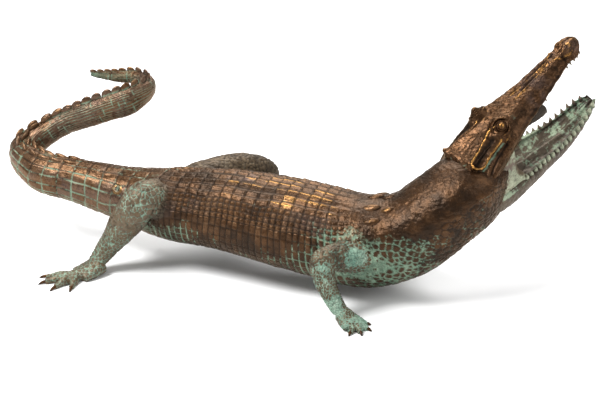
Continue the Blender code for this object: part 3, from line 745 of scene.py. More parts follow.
        # Painted shade: on the near side, the gap between the hind thigh and the flank is darkened through
        # the groove mark and kept out of the green net.
        thigh_gap_shade = bell(place, hips + 0.022, 0.018) * bell(turn, 72.0, 24.0) * near_side
        behind = bell(place, hips + 0.036, 0.030) * smooth(76.0, 100.0, turn)
        green, net = green + 0.16 * behind, net + 0.36 * behind
        groove = np.maximum(groove, 0.85 * thigh_gap_shade)
        net = net - 0.4 * thigh_gap_shade
        patchy = smooth(0.42, 0.72, mottle(points, 0.034, 31) + 0.40 * (own - 0.5))
        upper = smooth(66.0, 40.0, swung)
        line = np.where(on_back, bell(fv, 0.42, 0.10), 0.0)
        ridges = 0.26 * line + 0.30 * line * patchy + 0.14 * keel
        wear = on_trunk * (ridges + 0.26 * patchy * upper + 0.10 * pillow) + 0.04 * plate
        wear = wear + 0.26 * to_tail * smooth(0.62, 0.95, share) * smooth(46.0, 16.0, turn)
        wear = wear + to_neck * (0.18 * smooth(95.0, 30.0, turn) * (0.4 + patchy) + 0.02)
        slot, ring = far_from(points, self.slot), far_from(points, self.rust_ring)
        wide_plum, small_plum = (far_from(points, spot) for spot in self.plum_spots)
        plum = np.minimum(wide_plum, small_plum + 0.004)
        rubbed = np.minimum(*(far_from(points, spot) for spot in self.rubbed_spots))
        pit = np.maximum(bell(slot, 0.0, 0.0050), bell(ring, 0.0, 0.0030))
        lift -= 0.0016 * pit
        groove = np.maximum(groove, pit)
        bright = bell(rubbed, 0.0, 0.036) * (0.60 + 0.40 * patchy) * smooth(0.0, 0.2, own)
        wear = wear + 0.26 * bright * on_trunk
        wear = wear + 0.80 * bell(ring, 0.0055, 0.0028) - 0.90 * bell(plum, 0.0, 0.022)
        own_share = 0.50 - 0.30 * to_neck
        tone_and_painted_light = own_share * own + (0.95 - own_share) * mottle(points, 0.012, 41)
        dusty = smooth(hips + 0.020, hips - 0.060, place)
        # Painted shade: the lower flanks and belly of trunk and neck, which face the floor, are made darker,
        # less so at the foreleg root.
        tone_and_painted_light = tone_and_painted_light - 0.62 * smooth(76.0, 116.0, turn) * (1 - to_tail) * (1 - 0.6 * root)
        jowl = smooth(0.70, 1.0, neck_up) * smooth(66.0, 90.0, turn)
        tone_and_painted_light = tone_and_painted_light - 1.20 * bell(plum, 0.0, 0.022) + to_neck * (0.44 * jowl - 0.30)
        # Painted highlight: the pillow scales on the flank are made lighter.
        tone_and_painted_light = tone_and_painted_light + 0.42 * pillow * on_trunk
        tone_and_painted_light = tone_and_painted_light + (0.42 + 0.34 * back_run) * dusty * smooth(0.04, 0.20, share)
        marks = {"groove": groove, "wear": wear, "green": green, "net": net, "tone_and_painted_light": tone_and_painted_light}
        return lift, marks

    def piece(self, start: float, stop: float, rings: int, around: int, limbs: list[Limb]) -> Skin:
        """One length of the body, closed at both ends.

        Args:
            start: where it begins, along the centre line.
            stop: where it ends.
            rings: number of rings.
            around: corners in a ring.
            limbs: limbs whose roots the skin swells up to.

        Returns:
            The skin with its relief and marks.
        """
        at = np.linspace(start, stop, rings)
        angles = np.arange(around) * 2 * math.pi / around
        points = self.rings(at, angles)
        normals = grid_normals(points)
        lift, marks = self.scutes(at, angles, points)
        for limb in limbs:
            far = limb.gap(points)
            near = np.clip(1.0 - np.abs(far) / limb.fillet, 0.0, 1.0)
            lift = lift + 0.25 * limb.fillet * near**2
            stain = smooth(0.030, 0.004, far) * (normals[..., 1] < 0.3)
            marks["green"] = marks["green"] + limb.stain * stain
            marks["net"] = marks["net"] + 1.3 * limb.stain * stain
            # Painted shade: the trunk is darkened in the joint with a leg, by that leg's crease.
            marks["groove"] = np.maximum(marks["groove"], limb.crease * near)
        points = points + normals * lift[..., None]
        return with_marks(grid_skin(points), marks)

    def crest(self) -> Skin:
        """Leaf-shaped blades, one to a whorl: a twin row from the hips round the bend, then a single row.

        Returns:
            All blades as one skin. A blade is a stack of ovals: the half length falls as the
            blade rises, and the whole leans towards the tail's tip.
        """
        share = (self.whorls[:-1] + self.whorls[1:]) / 2 / self.knots[self.hips]
        middle = self.whorls[:-1] + 0.42 * np.diff(self.whorls)
        long = np.diff(self.whorls)
        twin = np.interp(share, *np.array(self.twin_crest).T) * self.crest_height
        single = np.interp(share, *np.array(self.single_crest).T) * self.crest_height
        blades = [(middle, long, single, 0.0)]
        blades += [(middle, long, twin, sign * math.radians(15.0)) for sign in (1, -1)]
        skins = []
        for place, length, height, angle in blades:
            keep = height > 0.0008
            place, length, height = place[keep], length[keep], height[keep]
            frame = [np.stack([np.interp(place, self.at, column) for column in array.T], axis=-1)
                     for array in (self.along, self.right, self.back)]
            along, right, back = (unit(axis) for axis in frame)
            foot = self.rings(place, np.array([angle % (2 * math.pi)]))[:, 0]
            out = unit(back * math.cos(angle) + right * math.sin(angle) * 1.2)
            side = np.cross(along, out)
            skins.append(leaves(foot - out * 0.0022, along, out, side, length, height + 0.0030))
            skins[-1].marks["tone_and_painted_light"] = skins[-1].marks["tone_and_painted_light"] + 0.70
        return merged(skins)


def leaves(foot: np.ndarray, along: np.ndarray, out: np.ndarray, side: np.ndarray,
           length: np.ndarray, height: np.ndarray) -> Skin:
    """Upright leaves, each a stack of thin ovals closed at the top.

    Args:
        foot: middle of each leaf's base.
        along: way along each base.
        out: way up each leaf.
        side: way across each leaf.
        length: length of each base.
        height: height of each leaf.

    Returns:
        The leaves as one skin. At a share v of the height the half length goes with the square
        root of 1 - v to the fourth, the half thickness with that of 1 - v to the 2.2, and the
        oval shifts back by up to 0.16 of the length.
    """
    levels, around = 9, 14
    v = np.linspace(0.0, 0.985, levels)
    turn = np.arange(around) * 2 * math.pi / around
    half_long = 0.53 * np.sqrt(1 - v**4.0)
    half_thick = 0.16 * np.sqrt(1 - v**2.2) + 0.02
    shift = -0.16 * v**1.3
    lengthways = (half_long[:, None] * np.cos(turn) + shift[:, None])
    crossways = half_thick[:, None] * np.sin(turn) * (1 - 0.25 * np.abs(np.cos(turn)))
    skins = []
    for i in range(len(foot)):
        points = (foot[i] + along[i] * (lengthways * length[i])[..., None]
                  + side[i] * (crossways * length[i])[..., None]
                  + out[i] * (v[:, None] * height[i] + 0 * turn)[..., None])
        skin = grid_skin(points, points[0].mean(0), points[-1].mean(0) + out[i] * 0.0002).outward()
        level = np.repeat(v, around)
        marks = {
            "groove": 1 - smooth(0.16, 0.50, level), "wear": 0.10 + 0.42 * level,
            "green": 0.40 - 0.18 * level, "net": 0.55, "tone_and_painted_light": scattered(np.array([[i, 3]]), 5),
        }
        skins.append(with_marks(skin, marks))
    return merged(skins)


# Limbs
@dataclass
class Limb:
    """One leg with its foot, toes and claws, its root inside the trunk.

    Rows are in thousandths: x, y, z and thickness down the leg; x, y, z, half width and half height
    along the palm; and x and y of each claw's tip. Other sizes are in metres.
    """

    name: str
    across: tuple
    leg: tuple
    palm: tuple
    claws: tuple
    scale: float = 0.0056
    fillet: float = 0.012
    toe_width: float = 0.0100
    claw_length: float = 0.0100
    claw_width: float = 0.0046
    cell: float = 0.0014
    green: float = 0.3
    net: float = 0.5
    stain: float = 0.0
    # Strength of the painted shade laid in the joint with the trunk.
    crease: float = 0.0
    patchy: float = 1.5
    pale: float = 0.0

    def __post_init__(self) -> None:
        """Works out the leg's line and thickness."""
        rows = np.array(self.leg, float) * THOUSANDTH
        knots = way_along(rows[:, :3])
        at = np.linspace(0, knots[-1], 60)
        self.line = through(knots, rows[:, :3], at) + SHIFT
        self.thick = through(knots, rows[:, 3:], at)[:, 0]

    def gap(self, points: np.ndarray) -> np.ndarray:
        """Distance of points outside the leg: from the nearest place of its line, less the thickness."""
        flat = points.reshape(-1, 3)
        best = np.full(len(flat), 9.0)
        for place, thick in zip(self.line[::3], self.thick[::3]):
            best = np.minimum(best, np.linalg.norm(flat - place, axis=1) - thick)
        return best.reshape(points.shape[:-1])

    def tube(
        self, points: np.ndarray, high: np.ndarray, wide: np.ndarray, across: np.ndarray, around: int = 32
    ) -> Skin:
        """Oval rings square to a line of points, closed at both ends."""
        reach = np.full(len(points), 2.0 * wide.max())
        along = eased(unit(np.gradient(points, axis=0)), way_along(points), reach)
        top = unit(np.cross(along, across))
        side = np.cross(top, along)
        turn = np.arange(around) * 2 * math.pi / around
        rings = (points[:, None] + side[:, None] * (np.cos(turn) * wide[:, None])[..., None]
                 + top[:, None] * (np.sin(turn) * high[:, None])[..., None])
        blunt = 0.45
        start = points[0] - along[0] * high[0] * blunt
        end = points[-1] + along[-1] * high[-1] * blunt
        return grid_skin(rings, start, end).outward()

    def toes(self) -> tuple[list[Skin], list[tuple]]:
        """Toes with swollen joints, and where each claw starts, ends and points."""
        rows = np.array(self.palm, float) * THOUSANDTH
        ball_of_foot, half_width = rows[-1, :3], rows[-1, 3]
        along = unit(rows[-1, :3] - rows[0, :3])
        across = unit(np.cross(along, UP))
        tips = np.array([(x * THOUSANDTH, y * THOUSANDTH, self.claw_width * 0.30) for x, y in self.claws])
        way_in = tips[0] - ball_of_foot
        first = np.sign(way_in[0] * along[1] - way_in[1] * along[0])
        flesh, claws = [], []
        for tip, offset in zip(tips, np.linspace(-0.75, 0.75, len(tips))):
            root = ball_of_foot + half_width * (across * offset * first - along * 0.5)
            way = unit(tip - root)
            claw_root = tip - way * self.claw_length
            v = np.linspace(0.0, 1.0, 16)
            knots = np.array((0.0, 0.5, 1.0))
            points = root + (claw_root - root) * v[:, None]
            sizes = np.array(((0.80, 0.60, 0.52), (0.72, 0.64, 0.50), (0.42, 0.42, 0.38)))
            lift, high, wide = through(knots, sizes, v).T
            knuckles = 1.0 + 0.15 * np.cos(2 * math.pi * (v * 2.4 + 0.35))
            points[:, 2] = lift * self.toe_width
            side = unit(np.cross(way * (1, 1, 0), UP))
            high, wide = high * knuckles * self.toe_width, wide * knuckles * self.toe_width
            flesh.append(self.tube(points + SHIFT, high, wide, side, 20))
            nail_root = points[-1] - unit(way * (1, 1, 0)) * self.claw_length * 0.3
            claws.append((nail_root + SHIFT, tip + SHIFT, side))
        return flesh, claws

    def flesh(self) -> Skin:
        """Leg, palm and toes grown into one smooth skin, its sole flat on the floor."""
        rows = np.array(self.palm, float) * THOUSANDTH
        across = np.array(self.across, float)
        parts = [self.tube(self.line, self.thick, self.thick, across, 48)]
        v = np.linspace(0, 1, 14)
        palm = through(np.array((0.0, 0.5, 1.0)), rows, v)
        along = unit(rows[-1, :3] - rows[0, :3])
        parts.append(self.tube(palm[:, :3] + SHIFT, palm[:, 4], palm[:, 3], unit(np.cross(along, UP))))
        parts += self.toes()[0]
        grown = merged(parts)
        mesh = bpy.data.meshes.new(self.name + "_parts")
        faces = [tuple(face) for face in grown.quads.tolist()] + [tuple(face) for face in grown.tris.tolist()]
        mesh.from_pydata(grown.corners.tolist(), [], faces)
        helper = bpy.data.objects.new(self.name + "_parts", mesh)
        bpy.context.scene.collection.objects.link(helper)
        remesh = helper.modifiers.new("grown", "REMESH")
        remesh.mode = "VOXEL"
        remesh.voxel_size = self.cell
        result = bpy.data.meshes.new_from_object(helper.evaluated_get(bpy.context.evaluated_depsgraph_get()))
        corners = np.empty(len(result.vertices) * 3)
        result.vertices.foreach_get("co", corners)
        quads = np.empty(len(result.loops), np.int64)
        result.loops.foreach_get("vertex_index", quads)
        bpy.data.objects.remove(helper)
        bpy.data.meshes.remove(mesh)
        bpy.data.meshes.remove(result)
        return Skin(corners.reshape(-1, 3), quads.reshape(-1, 4), np.zeros((0, 3), np.int64)).outward()

    def dressed(self, body: Body) -> Skin:
        """The flesh smoothed, swollen where it meets the trunk, and covered with scales.

        Args:
            body: the trunk it grows from.

        Returns:
            The skin with its marks. Scales are irregular and get smaller towards the foot.
        """
        skin = self.flesh()
        pairs = np.concatenate([skin.quads[:, [i, (i + 1) % 4]] for i in range(4)])
        count = np.bincount(pairs.ravel(), minlength=len(skin.corners))[:, None]
        for _ in range(5):
            total = np.zeros_like(skin.corners)
            for a, b in ((0, 1), (1, 0)):
                for axis in range(3):
                    neighbour = skin.corners[pairs[:, b], axis]
                    total[:, axis] += np.bincount(pairs[:, a], neighbour, len(skin.corners))
            skin.corners = 0.4 * skin.corners + 0.6 * total / count
        normals = self.normals(skin)
        points = skin.corners
        line = self.line[::4]
        down = np.linalg.norm(points[:, None] - line[None], axis=-1).argmin(axis=1) / (len(line) - 1)
        low = smooth(0.024, 0.010, points[:, 2])
        size = self.scale
        coarse, own_a = pebbles(points * (1.0, 1.0, 0.85), size, 51)
        fine, own_b = pebbles(points, size * 0.76, 57)
        share = smooth(0.40, 0.7, down + 0.2 * (mottle(points, 0.02, 9) - 0.5))
        border = coarse * size * (1 - share) + fine * size * 0.76 * share
        own = np.where(share > 0.5, own_b, own_a)
        half = 0.0003 + 0.0004 * mottle(points, 0.008, 75)
        lift = 0.0010 * (smooth(0.0, 2.8 * half, border) - 0.7) * (1 - 0.4 * low)
        lift += 0.0016 * (mottle(points, 0.016, 61) - 0.5) + 0.0010 * (mottle(points, 0.006, 63) - 0.5)
        near = np.clip(1.0 - np.abs(body.gap(points)) / self.fillet, 0.0, 1.0)
        lift += 0.25 * self.fillet * near**2
        skin.corners = points + normals * lift[:, None]
        skin.corners[:, 2] = np.maximum(skin.corners[:, 2], 0.0)
        groove = 1.0 - smooth(0.2 * half, 1.4 * half, border)
        top = smooth(0.2, 0.9, normals[:, 2])
        patch = mottle(points, 0.024, 71) - 0.5
        green = self.green - 0.04 * low + self.patchy * patch + 0.10 * smooth(0.3, 0.9, down)
        green = green + 0.20 * (0.5 - smooth(1.0 * half, 3.0 * half, border))
        # Painted shade in the joint with the trunk: the groove mark is raised and the net lowered by the
        # crease, and the green mark is lowered near the trunk on every limb.
        groove = np.maximum(groove, self.crease * near)
        skin.marks = {
            "groove": groove,
            "wear": 0.10 + 0.16 * top + 0.3 * near,
            "green": green - 0.2 * near,
            "net": self.net + 0.5 * patch + 0.10 * low - self.crease * near,
            "tone_and_painted_light": 0.4 * own + 0.6 * mottle(points, 0.010, 73) + self.pale,
        }
        return skin

    @staticmethod
    def normals(skin: Skin) -> np.ndarray:
        """Corner normals: the sum of the normals of the faces that meet there."""
        a, b, c, d = (skin.corners[skin.quads[:, i]] for i in range(4))
        face = np.cross(c - a, d - b)
        total = np.zeros_like(skin.corners)
        for i in range(4):
            for axis in range(3):
                total[:, axis] += np.bincount(skin.quads[:, i], face[:, axis], len(skin.corners))
        return unit(total)

    def nails(self) -> Skin:
        """Claws: tapering ovals that bend down to a point."""
        skins = []
        for root, tip, side in self.toes()[1]:
            v = np.linspace(0.0, 0.97, 10)
            arch = UP * 0.0016 * np.sin(math.pi * v)[:, None]
            points = root + (tip - root) * v[:, None] + arch
            girth = self.claw_width * 0.5 * np.sqrt(1 - v**1.7)
            skin = self.tube(points, girth * 0.95, girth, side, 12)
            skin.corners[:, 2] = np.maximum(skin.corners[:, 2], 0.0002)
            level = np.repeat(v, 12)
            groove = 0.9 * smooth(0.62, 0.95, level) + 0.5 * smooth(0.25, 0.0, level)
            marks = {"groove": groove, "wear": 0.46, "green": 0.1, "net": 0.1, "tone_and_painted_light": 0.5}
            skins.append(with_marks(skin, marks))
        return merged(skins)


HEADING = (0.922, -0.386, 0.0)
HIND_NEAR = Limb(
    "hind_near", (0.0, 1.0, 0.0),
    ((-236, 132, 112, 40), (-278, 83, 139, 33), (-306, 85, 100, 30), (-332, 87, 63, 22),
     (-353, 85, 34, 17), (-364, 80, 22, 15)),
    ((-355, 80, 20, 20, 17), (-374, 67, 13, 24, 14), (-391, 55, 9, 25, 11)),
    ((-463, 57), (-461, 28), (-436, 0), (-401, -4)),
    scale=0.0064, cell=0.00100, green=-0.08, net=0.64, crease=0.8, patchy=0.4, pale=0.38,
)
HIND_FAR = Limb(
    "hind_far", (0.4, -1.0, 0.0),
    ((-205, 200, 114, 42), (-157, 235, 130, 33), (-102, 258, 133, 29), (-66, 274, 117, 27),
     (-76, 283, 78, 22), (-98, 289, 42, 17), (-104, 293, 22, 16)),
    ((-104, 292, 20, 20, 17), (-92, 311, 12, 26, 14), (-76, 334, 7, 29, 11)),
    ((-44, 387), (-22, 366), (-6, 341), (-17, 308)),
    green=-0.20, net=0.20,
)
FORE_NEAR = Limb(
    "fore_near", HEADING,
    ((122, -30, 96, 34), (78, -66, 99, 27), (37, -99, 98, 22), (43, -105, 67, 18), (57, -112, 37, 14),
     (67, -118, 22, 13)),
    ((70, -118, 18, 15, 14), (81, -130, 11, 21, 13), (91, -142, 7, 24, 10)),
    ((80, -173), (102, -172), (119, -155), (119, -130), (106, -109)),
    scale=0.0050, toe_width=0.0092, claw_length=0.0065, claw_width=0.0044,
    cell=0.00085, green=0.50, net=0.72, stain=0.30, patchy=2.8,
)
FORE_FAR = Limb(
    "fore_far", HEADING,
    ((150, 36, 96, 34), (163, 92, 96, 27), (160, 140, 90, 22), (170, 148, 62, 18), (184, 155, 36, 14),
     (192, 160, 22, 13)),
    ((193, 160, 18, 15, 14), (206, 167, 11, 21, 13), (219, 173, 7, 24, 10)),
    ((248, 150), (260, 170), (254, 191), (234, 204), (210, 206)),
    scale=0.0050, toe_width=0.0092, claw_length=0.0065, claw_width=0.0044,
    green=0.30, net=0.55, stain=0.15,
)


# Head
class Jaw(Enum):
    """Which jaw a place on the head is given for."""

    UPPER = "upper"
    LOWER = "lower"


@dataclass
class Head:
    """Skull, lower jaw, cheeks, teeth, eyes and nostrils, in a frame at the rear of the skull table.

    All in thousandths. The snout's rows are the place along, half width at the lips, half width of
    the flat top, and the heights of top, lip and gum. The mandible's rows are the place along, half
    width, height of the rim and depth below it. A line drawn on the skull is pairs of the place
    along and the section's control number, counted from the top middle.
    """

    origin: tuple = (262.0, -14.0, 247.5)
    forward: tuple = (0.637, 0.368, 0.678)
    top: tuple = (-0.476, -0.504, 0.721)
    hinge: tuple = (-20.0, 2.0, -67.0)
    gape: float = 25.5
    snout: tuple = (
        (-30, 46, 20, -14, -38, -56),
        (-9, 54, 31, -9, -33, -55),
        (0, 56, 33, 1, -31, -54),
        (22, 58, 35, 2, -29, -53),
        (50, 53, 35, 2, -28, -51),
        (76, 48, 33, 1, -28, -50),
        (98, 45, 29, 0, -28, -47),
        (122, 41, 25, -2, -29, -44),
        (153, 37, 20, -7, -31, -42),
        (187, 32, 17, -13, -33, -42),
        (221, 27, 14, -17, -34, -42),
        (246, 23, 12, -20, -35, -43),
        (258, 21, 11, -21, -36, -42),
        (274, 23, 12, -19, -39, -46),
        (287, 19, 9, -21, -39, -45),
        (297, 11, 5, -27, -38, -42),
        (301, 5, 2, -32, -39, -41),
    )
    mandible: tuple = (
        (-12, 52, -4, 36),
        (20, 60, -2, 44),
        (60, 60, -2, 46),
        (102, 54, -2, 42),
        (146, 45, -2, 37),
        (187, 39, -2, 32),
        (216, 34, 0, 28),
        (244, 29, 6, 25),
        (268, 24, 14, 22),
        (288, 19, 22, 18),
        (303, 10, 26, 13),
    )
    eye: tuple = (90.0, 27.0, -1.0)
    teeth_a_side: int = 17
    ear_rim: tuple = (
        (84, 1.35), (74, 1.00), (64, 1.08), (51, 1.22), (37, 1.46), (27, 1.54),
        (18, 1.62), (11, 1.80), (8, 2.02), (9, 2.34), (14, 2.60), (20, 2.70),
        (28, 2.66), (36, 2.58), (46, 2.52), (56, 2.50), (64, 2.46), (73, 2.40),
    )
    ear_well: tuple = ((62, 1.74), (48, 1.88), (34, 2.00), (22, 2.08), (16, 2.14))
    ear_rib: tuple = ((52, 1.95), (47, 1.88), (36, 1.95), (22, 1.98), (10, 2.08), (4, 2.16))
    ear_stripe: tuple = ((72, 2.86), (55, 2.90), (45, 2.92), (31, 2.90), (16, 2.96), (1, 2.95), (-9, 2.55))
    cheek_ridge: tuple = (
        (96, 2.75), (74, 3.05), (60, 3.16), (41, 3.20), (28, 3.27),
        (15, 3.55), (2, 3.82), (-10, 4.09), (-23, 4.30),
    )
    cheek_crease: tuple = (
        (80, 3.22), (60, 3.36), (41, 3.42), (28, 3.50),
        (15, 3.80), (2, 4.07), (-10, 4.34), (-23, 4.60),
    )
    nose_line: tuple = (
        (150, 0.58), (175, 0.61), (208, 0.48), (234, 0.50),
        (246, 1.40), (253, 2.40), (262, 2.75), (272, 2.80),
    )
    lip_line: tuple = ((140, 3.20), (173, 3.27), (194, 3.27), (211, 3.34), (230, 3.30), (242, 3.41))
    slit: tuple = ((168, 0.10), (188, 0.12), (203, 0.27))
    far_slit: tuple = ((150, 0.80), (175, 0.68), (200, 0.75), (230, 0.78), (252, 0.80))

    def __post_init__(self) -> None:
        """Squares the head's frame."""
        self.ahead = unit(np.array(self.forward))
        self.over = unit(np.array(self.top) - np.dot(self.top, self.ahead) * self.ahead)
        self.side = np.cross(self.ahead, self.over)

    def place(self, along: np.ndarray, right: np.ndarray, up: np.ndarray, jaw: Jaw = Jaw.UPPER) -> np.ndarray:
        """World place of a point of the head.

        Args:
            along: thousandths along the snout, for the lower jaw from its hinge.
            right: thousandths to the right.
            up: thousandths up.
            jaw: which jaw it belongs to. The lower one is swung down about its hinge.

        Returns:
            The place in metres.
        """
        along, right, up = (np.asarray(v, float) for v in (along, right, up))
        if jaw is Jaw.LOWER:
            cosine, sine = math.cos(math.radians(self.gape)), math.sin(math.radians(self.gape))
            along, up = self.hinge[0] + along * cosine + up * sine, self.hinge[2] + up * cosine - along * sine
            right = right + self.hinge[1]
        spread = along[..., None] * self.ahead + right[..., None] * self.side + up[..., None] * self.over
        return (np.array(self.origin) + spread) * THOUSANDTH + SHIFT

    @staticmethod
    def loops(half: np.ndarray, around: int) -> tuple[np.ndarray, np.ndarray]:
        """Smooth closed sections through control points given for the right half.

        Args:
            half: rings by control points by two (right, up), from the top middle to the low middle.
            around: corners wanted in each ring.

        Returns:
            Rings by corners by two, and for each corner its control number, counted from the top
            middle on either side.
        """
        left = half[:, -2:0:-1] * (-1.0, 1.0)
        ring = np.concatenate([half, left], axis=1)
        count = ring.shape[1]
        wrapped = np.concatenate([ring[:, -3:], ring, ring[:, :4]], axis=1)
        knots = np.arange(-3, count + 4, dtype=float)
        at = np.arange(around) * count / around
        flat = wrapped.transpose(1, 0, 2).reshape(len(knots), -1)
        smooth_ring = through(knots, flat, at).reshape(around, len(half), 2).transpose(1, 0, 2)
        return smooth_ring, np.minimum(at, count - at)

    @staticmethod
    def traced(points: np.ndarray, at: np.ndarray, path: tuple, side: int) -> np.ndarray:
        """Distance of every place of a head skin from a line drawn on it.

        Args:
            points: rings by corners by three.
            at: thousandths along, one for each ring.
            path: pairs of thousandths along and control number.
            side: 1 for the right of the head, -1 for the left.

        Returns:
            Distance in metres. The line is a smooth curve through the pairs, laid on the nearest
            corners and evened out over three neighbours.
        """
        rough = np.array(path, float)
        reads = np.linspace(0, len(rough) - 1, 9 * len(rough))
        fine = through(np.arange(len(rough), dtype=float), rough, reads)
        ring = np.interp(fine[:, 0], at, np.arange(len(at))).round().astype(int)
        controls = 18.0
        column = (side * fine[:, 1] * points.shape[1] / controls).round().astype(int) % points.shape[1]
        line = points[ring, column]
        for _ in range(3):
            line[1:-1] = (line[:-2] + line[1:-1] + line[2:]) / 3
        far = np.full(points.shape[:2], 9.0)
        for place in line:
            far = np.minimum(far, np.linalg.norm(points - place, axis=-1))
        return far

    def skull(self) -> Skin:
        """Skull and snout: a closed section swept along, with table edge, ear loop, cheek ridge and lip.

        Returns:
            The skin. Each ridge or groove is a hump of the distance from a line drawn on it.
        """
        rings, around = 310, 250
        table = np.array(self.snout, float)
        at = np.linspace(table[0, 0], table[-1, 0], rings)
        lip, flat, top, edge, gum = through(table[:, 0], table[:, 1:], at).T
        palate = gum + 9.0 * np.minimum(1.0, lip / 20.0)
        waist = 0.45 * flat + 0.5 * lip
        zero = 0.0 * at
        half = section(
            (zero, top), (0.5 * flat, top + 1), (flat, top), (waist, 0.5 * (top + edge) - 3), (lip, edge),
            (0.97 * lip, 0.5 * (edge + gum)), (0.86 * lip, gum), (0.68 * lip, gum + 1), (0.5 * lip, palate),
            (zero, palate + 1),
        )
        sections, control = self.loops(half, around)
        along = at[:, None] + 0.0 * control[None, :]
        q = control[None, :] + 0.0 * along
        plain = self.place(along, sections[..., 0], sections[..., 1])
        normals = grid_normals(plain)
        mm = 0.001
        outside = smooth(6.6, 5.8, q)
        snout = smooth(104.0, 124.0, along)
        lift = np.zeros_like(along)
        groove, wear, green, net = (np.zeros_like(along) for _ in range(4))
        for side, raised, rubbed, gilt in ((1, 2.8, 0.66, 0.0), (-1, 1.4, 0.30, 0.4)):
            rim = self.traced(plain, at, self.ear_rim, side)
            well = self.traced(plain, at, self.ear_well, side)
            rib = self.traced(plain, at, self.ear_rib, side)
            stripe = self.traced(plain, at, self.ear_stripe, side)
            cheek = self.traced(plain, at, self.cheek_ridge, side)
            crease = self.traced(plain, at, self.cheek_crease, side)
            lid = self.traced(plain, at, self.nose_line, side)
            lip_line = self.traced(plain, at, self.lip_line, side)
            lift += mm * (raised * bell(rim, 0, 0.0017) - 4.2 * bell(well, 0, 0.0045))
            lift += mm * (3.2 * bell(rib, 0, 0.0013) - 0.9 * bell(stripe, 0, 0.0014))
            lift += mm * (1.3 * bell(cheek, 0, 0.0024) - 1.7 * bell(crease, 0, 0.0017))
            lift += mm * (0.9 * bell(lid, 0, 0.0014) + 1.0 * bell(lip_line, 0, 0.0018))
            groove += 1.70 * bell(well, 0, 0.0042) - 0.9 * bell(rib, 0, 0.0010)
            groove += 1.0 * bell(crease, 0, 0.0016) + 0.85 * bell(stripe, 0, 0.0013)
            wear += rubbed * bell(rim, 0.0003, 0.0013) + 0.42 * bell(rib, 0, 0.0010)
            wear += 0.36 * bell(cheek, 0.0006, 0.0012)
            wear += 0.34 * bell(lid, 0, 0.0030) + 0.30 * bell(lip_line, 0, 0.0014)
            net += 0.75 * bell(stripe, 0, 0.0022)
            green += 0.42 * bell(rib, 0, 0.0014) * bell(along, 30.0, 22.0)
            far = np.hypot(along - self.eye[0] + 1.0, sections[..., 0] - side * (self.eye[1] - 2.0))
            lift += 3.2 * mm * bell(far, 0.0, 22.0) * (q < 4.0)
            wear += 0.26 * bell(far, 16.0, 4.0) * (q < 3.0) + gilt * bell(far, 0.0, 13.0) * (q < 4.0)
            far = np.hypot((along - 270.0) / 1.3, sections[..., 0] - side * 9.0)
            lift += 1.0 * mm * bell(far, 0.0, 7.0) * (q < 3.5)
            far = np.hypot(along - 259.0, sections[..., 0] - side * 14.5)
            lift -= 1.8 * mm * bell(far, 0.0, 4.5) * (q < 3.5)
            groove += 0.9 * bell(far, 0.0, 4.0) * (q < 3.5)
        for path, side in ((self.slit, 1), (self.far_slit, -1)):
            far = self.traced(plain, at, path, side)
            lift -= 1.5 * mm * bell(far, 0, 0.0013)
            groove += bell(far, 0, 0.0011)
        # A shallow channel under the lip ridge, darkened as painted shade of the lip's underside.
        under = bell(q, 3.85, 0.30) * smooth(90.0, 130.0, along) * (1 - smooth(244.0, 258.0, along))
        lift -= 0.7 * mm * under
        groove += 0.6 * under + 0.7 * bell(q, 4.75, 0.16) * smooth(80.0, 100.0, along)
        wave = np.sin(2 * math.pi * along / 25.0 + 0.6 * np.sign(sections[..., 0] + 1e-9))
        on_lip = smooth(3.2, 4.1, q) * (1 - smooth(5.4, 6.2, q)) * smooth(110.0, 130.0, along)
        lift += 0.4 * mm * wave * on_lip
        blotch, small = mottle(plain, 0.014, 91), mottle(plain, 0.0048, 93)
        tiny, own = mottle(plain, 0.0026, 97), pebbles(plain, 0.0060, 81)[1]
        calm = 1 - 0.6 * smooth(2.8, 3.6, q)
        lift += mm * calm * (1.3 * (blotch - 0.5) + 1.1 * (small - 0.5) + 0.7 * (tiny - 0.5))
        dents = smooth(0.70, 0.82, small) * outside
        lift -= 0.7 * mm * dents
        rear = smooth(9.0, 0.0, along + 8.0 * (small - 0.5)) * (q < 2.6) * smooth(-26.0, -8.0, along)
        lift -= 1.4 * mm * rear
        groove += 0.55 * dents * smooth(0.45, 0.6, blotch) + 0.35 * smooth(0.62, 0.8, tiny)
        groove = np.clip(groove, 0, 1) * outside
        bare = 0.22 + 0.20 * snout * bell(q, 1.4, 1.1) + 0.22 * smooth(246.0, 276.0, along)
        wear = (wear + bare - 0.24 * smooth(2.6, 3.6, q)) * outside
        wear -= 0.18 * smooth(0.0, -14.0, along)
        net += 0.5 * rear + 0.45 * bell(along, 118.0, 9.0) * bell(q, 2.4, 0.6) + 0.10
        green += 0.10 + 0.30 * rear + 0.34 * bell(along, 116.0, 12.0) * bell(q, 2.6, 0.8)
        green += 0.26 * bell(along, 212.0, 12.0) * bell(q, 0.9, 0.35) * (sections[..., 0] < 0)
        green += 0.42 * smooth(6.4, 7.2, q) * smooth(-10.0, 30.0, along)
        tone_and_painted_light = 0.15 * own + 0.45 * mottle(plain, 0.009, 95) + 0.30
        points = plain + normals * lift[..., None]
        marks = {"groove": groove, "wear": wear, "green": green, "net": net, "tone_and_painted_light": tone_and_painted_light}
        start = self.place(np.array(-38.0), np.array(0.0), np.array(-36.0))
        end = self.place(np.array(303.0), np.array(0.0), np.array(-39.5))
        return with_marks(grid_skin(points, start, end).outward(), marks)

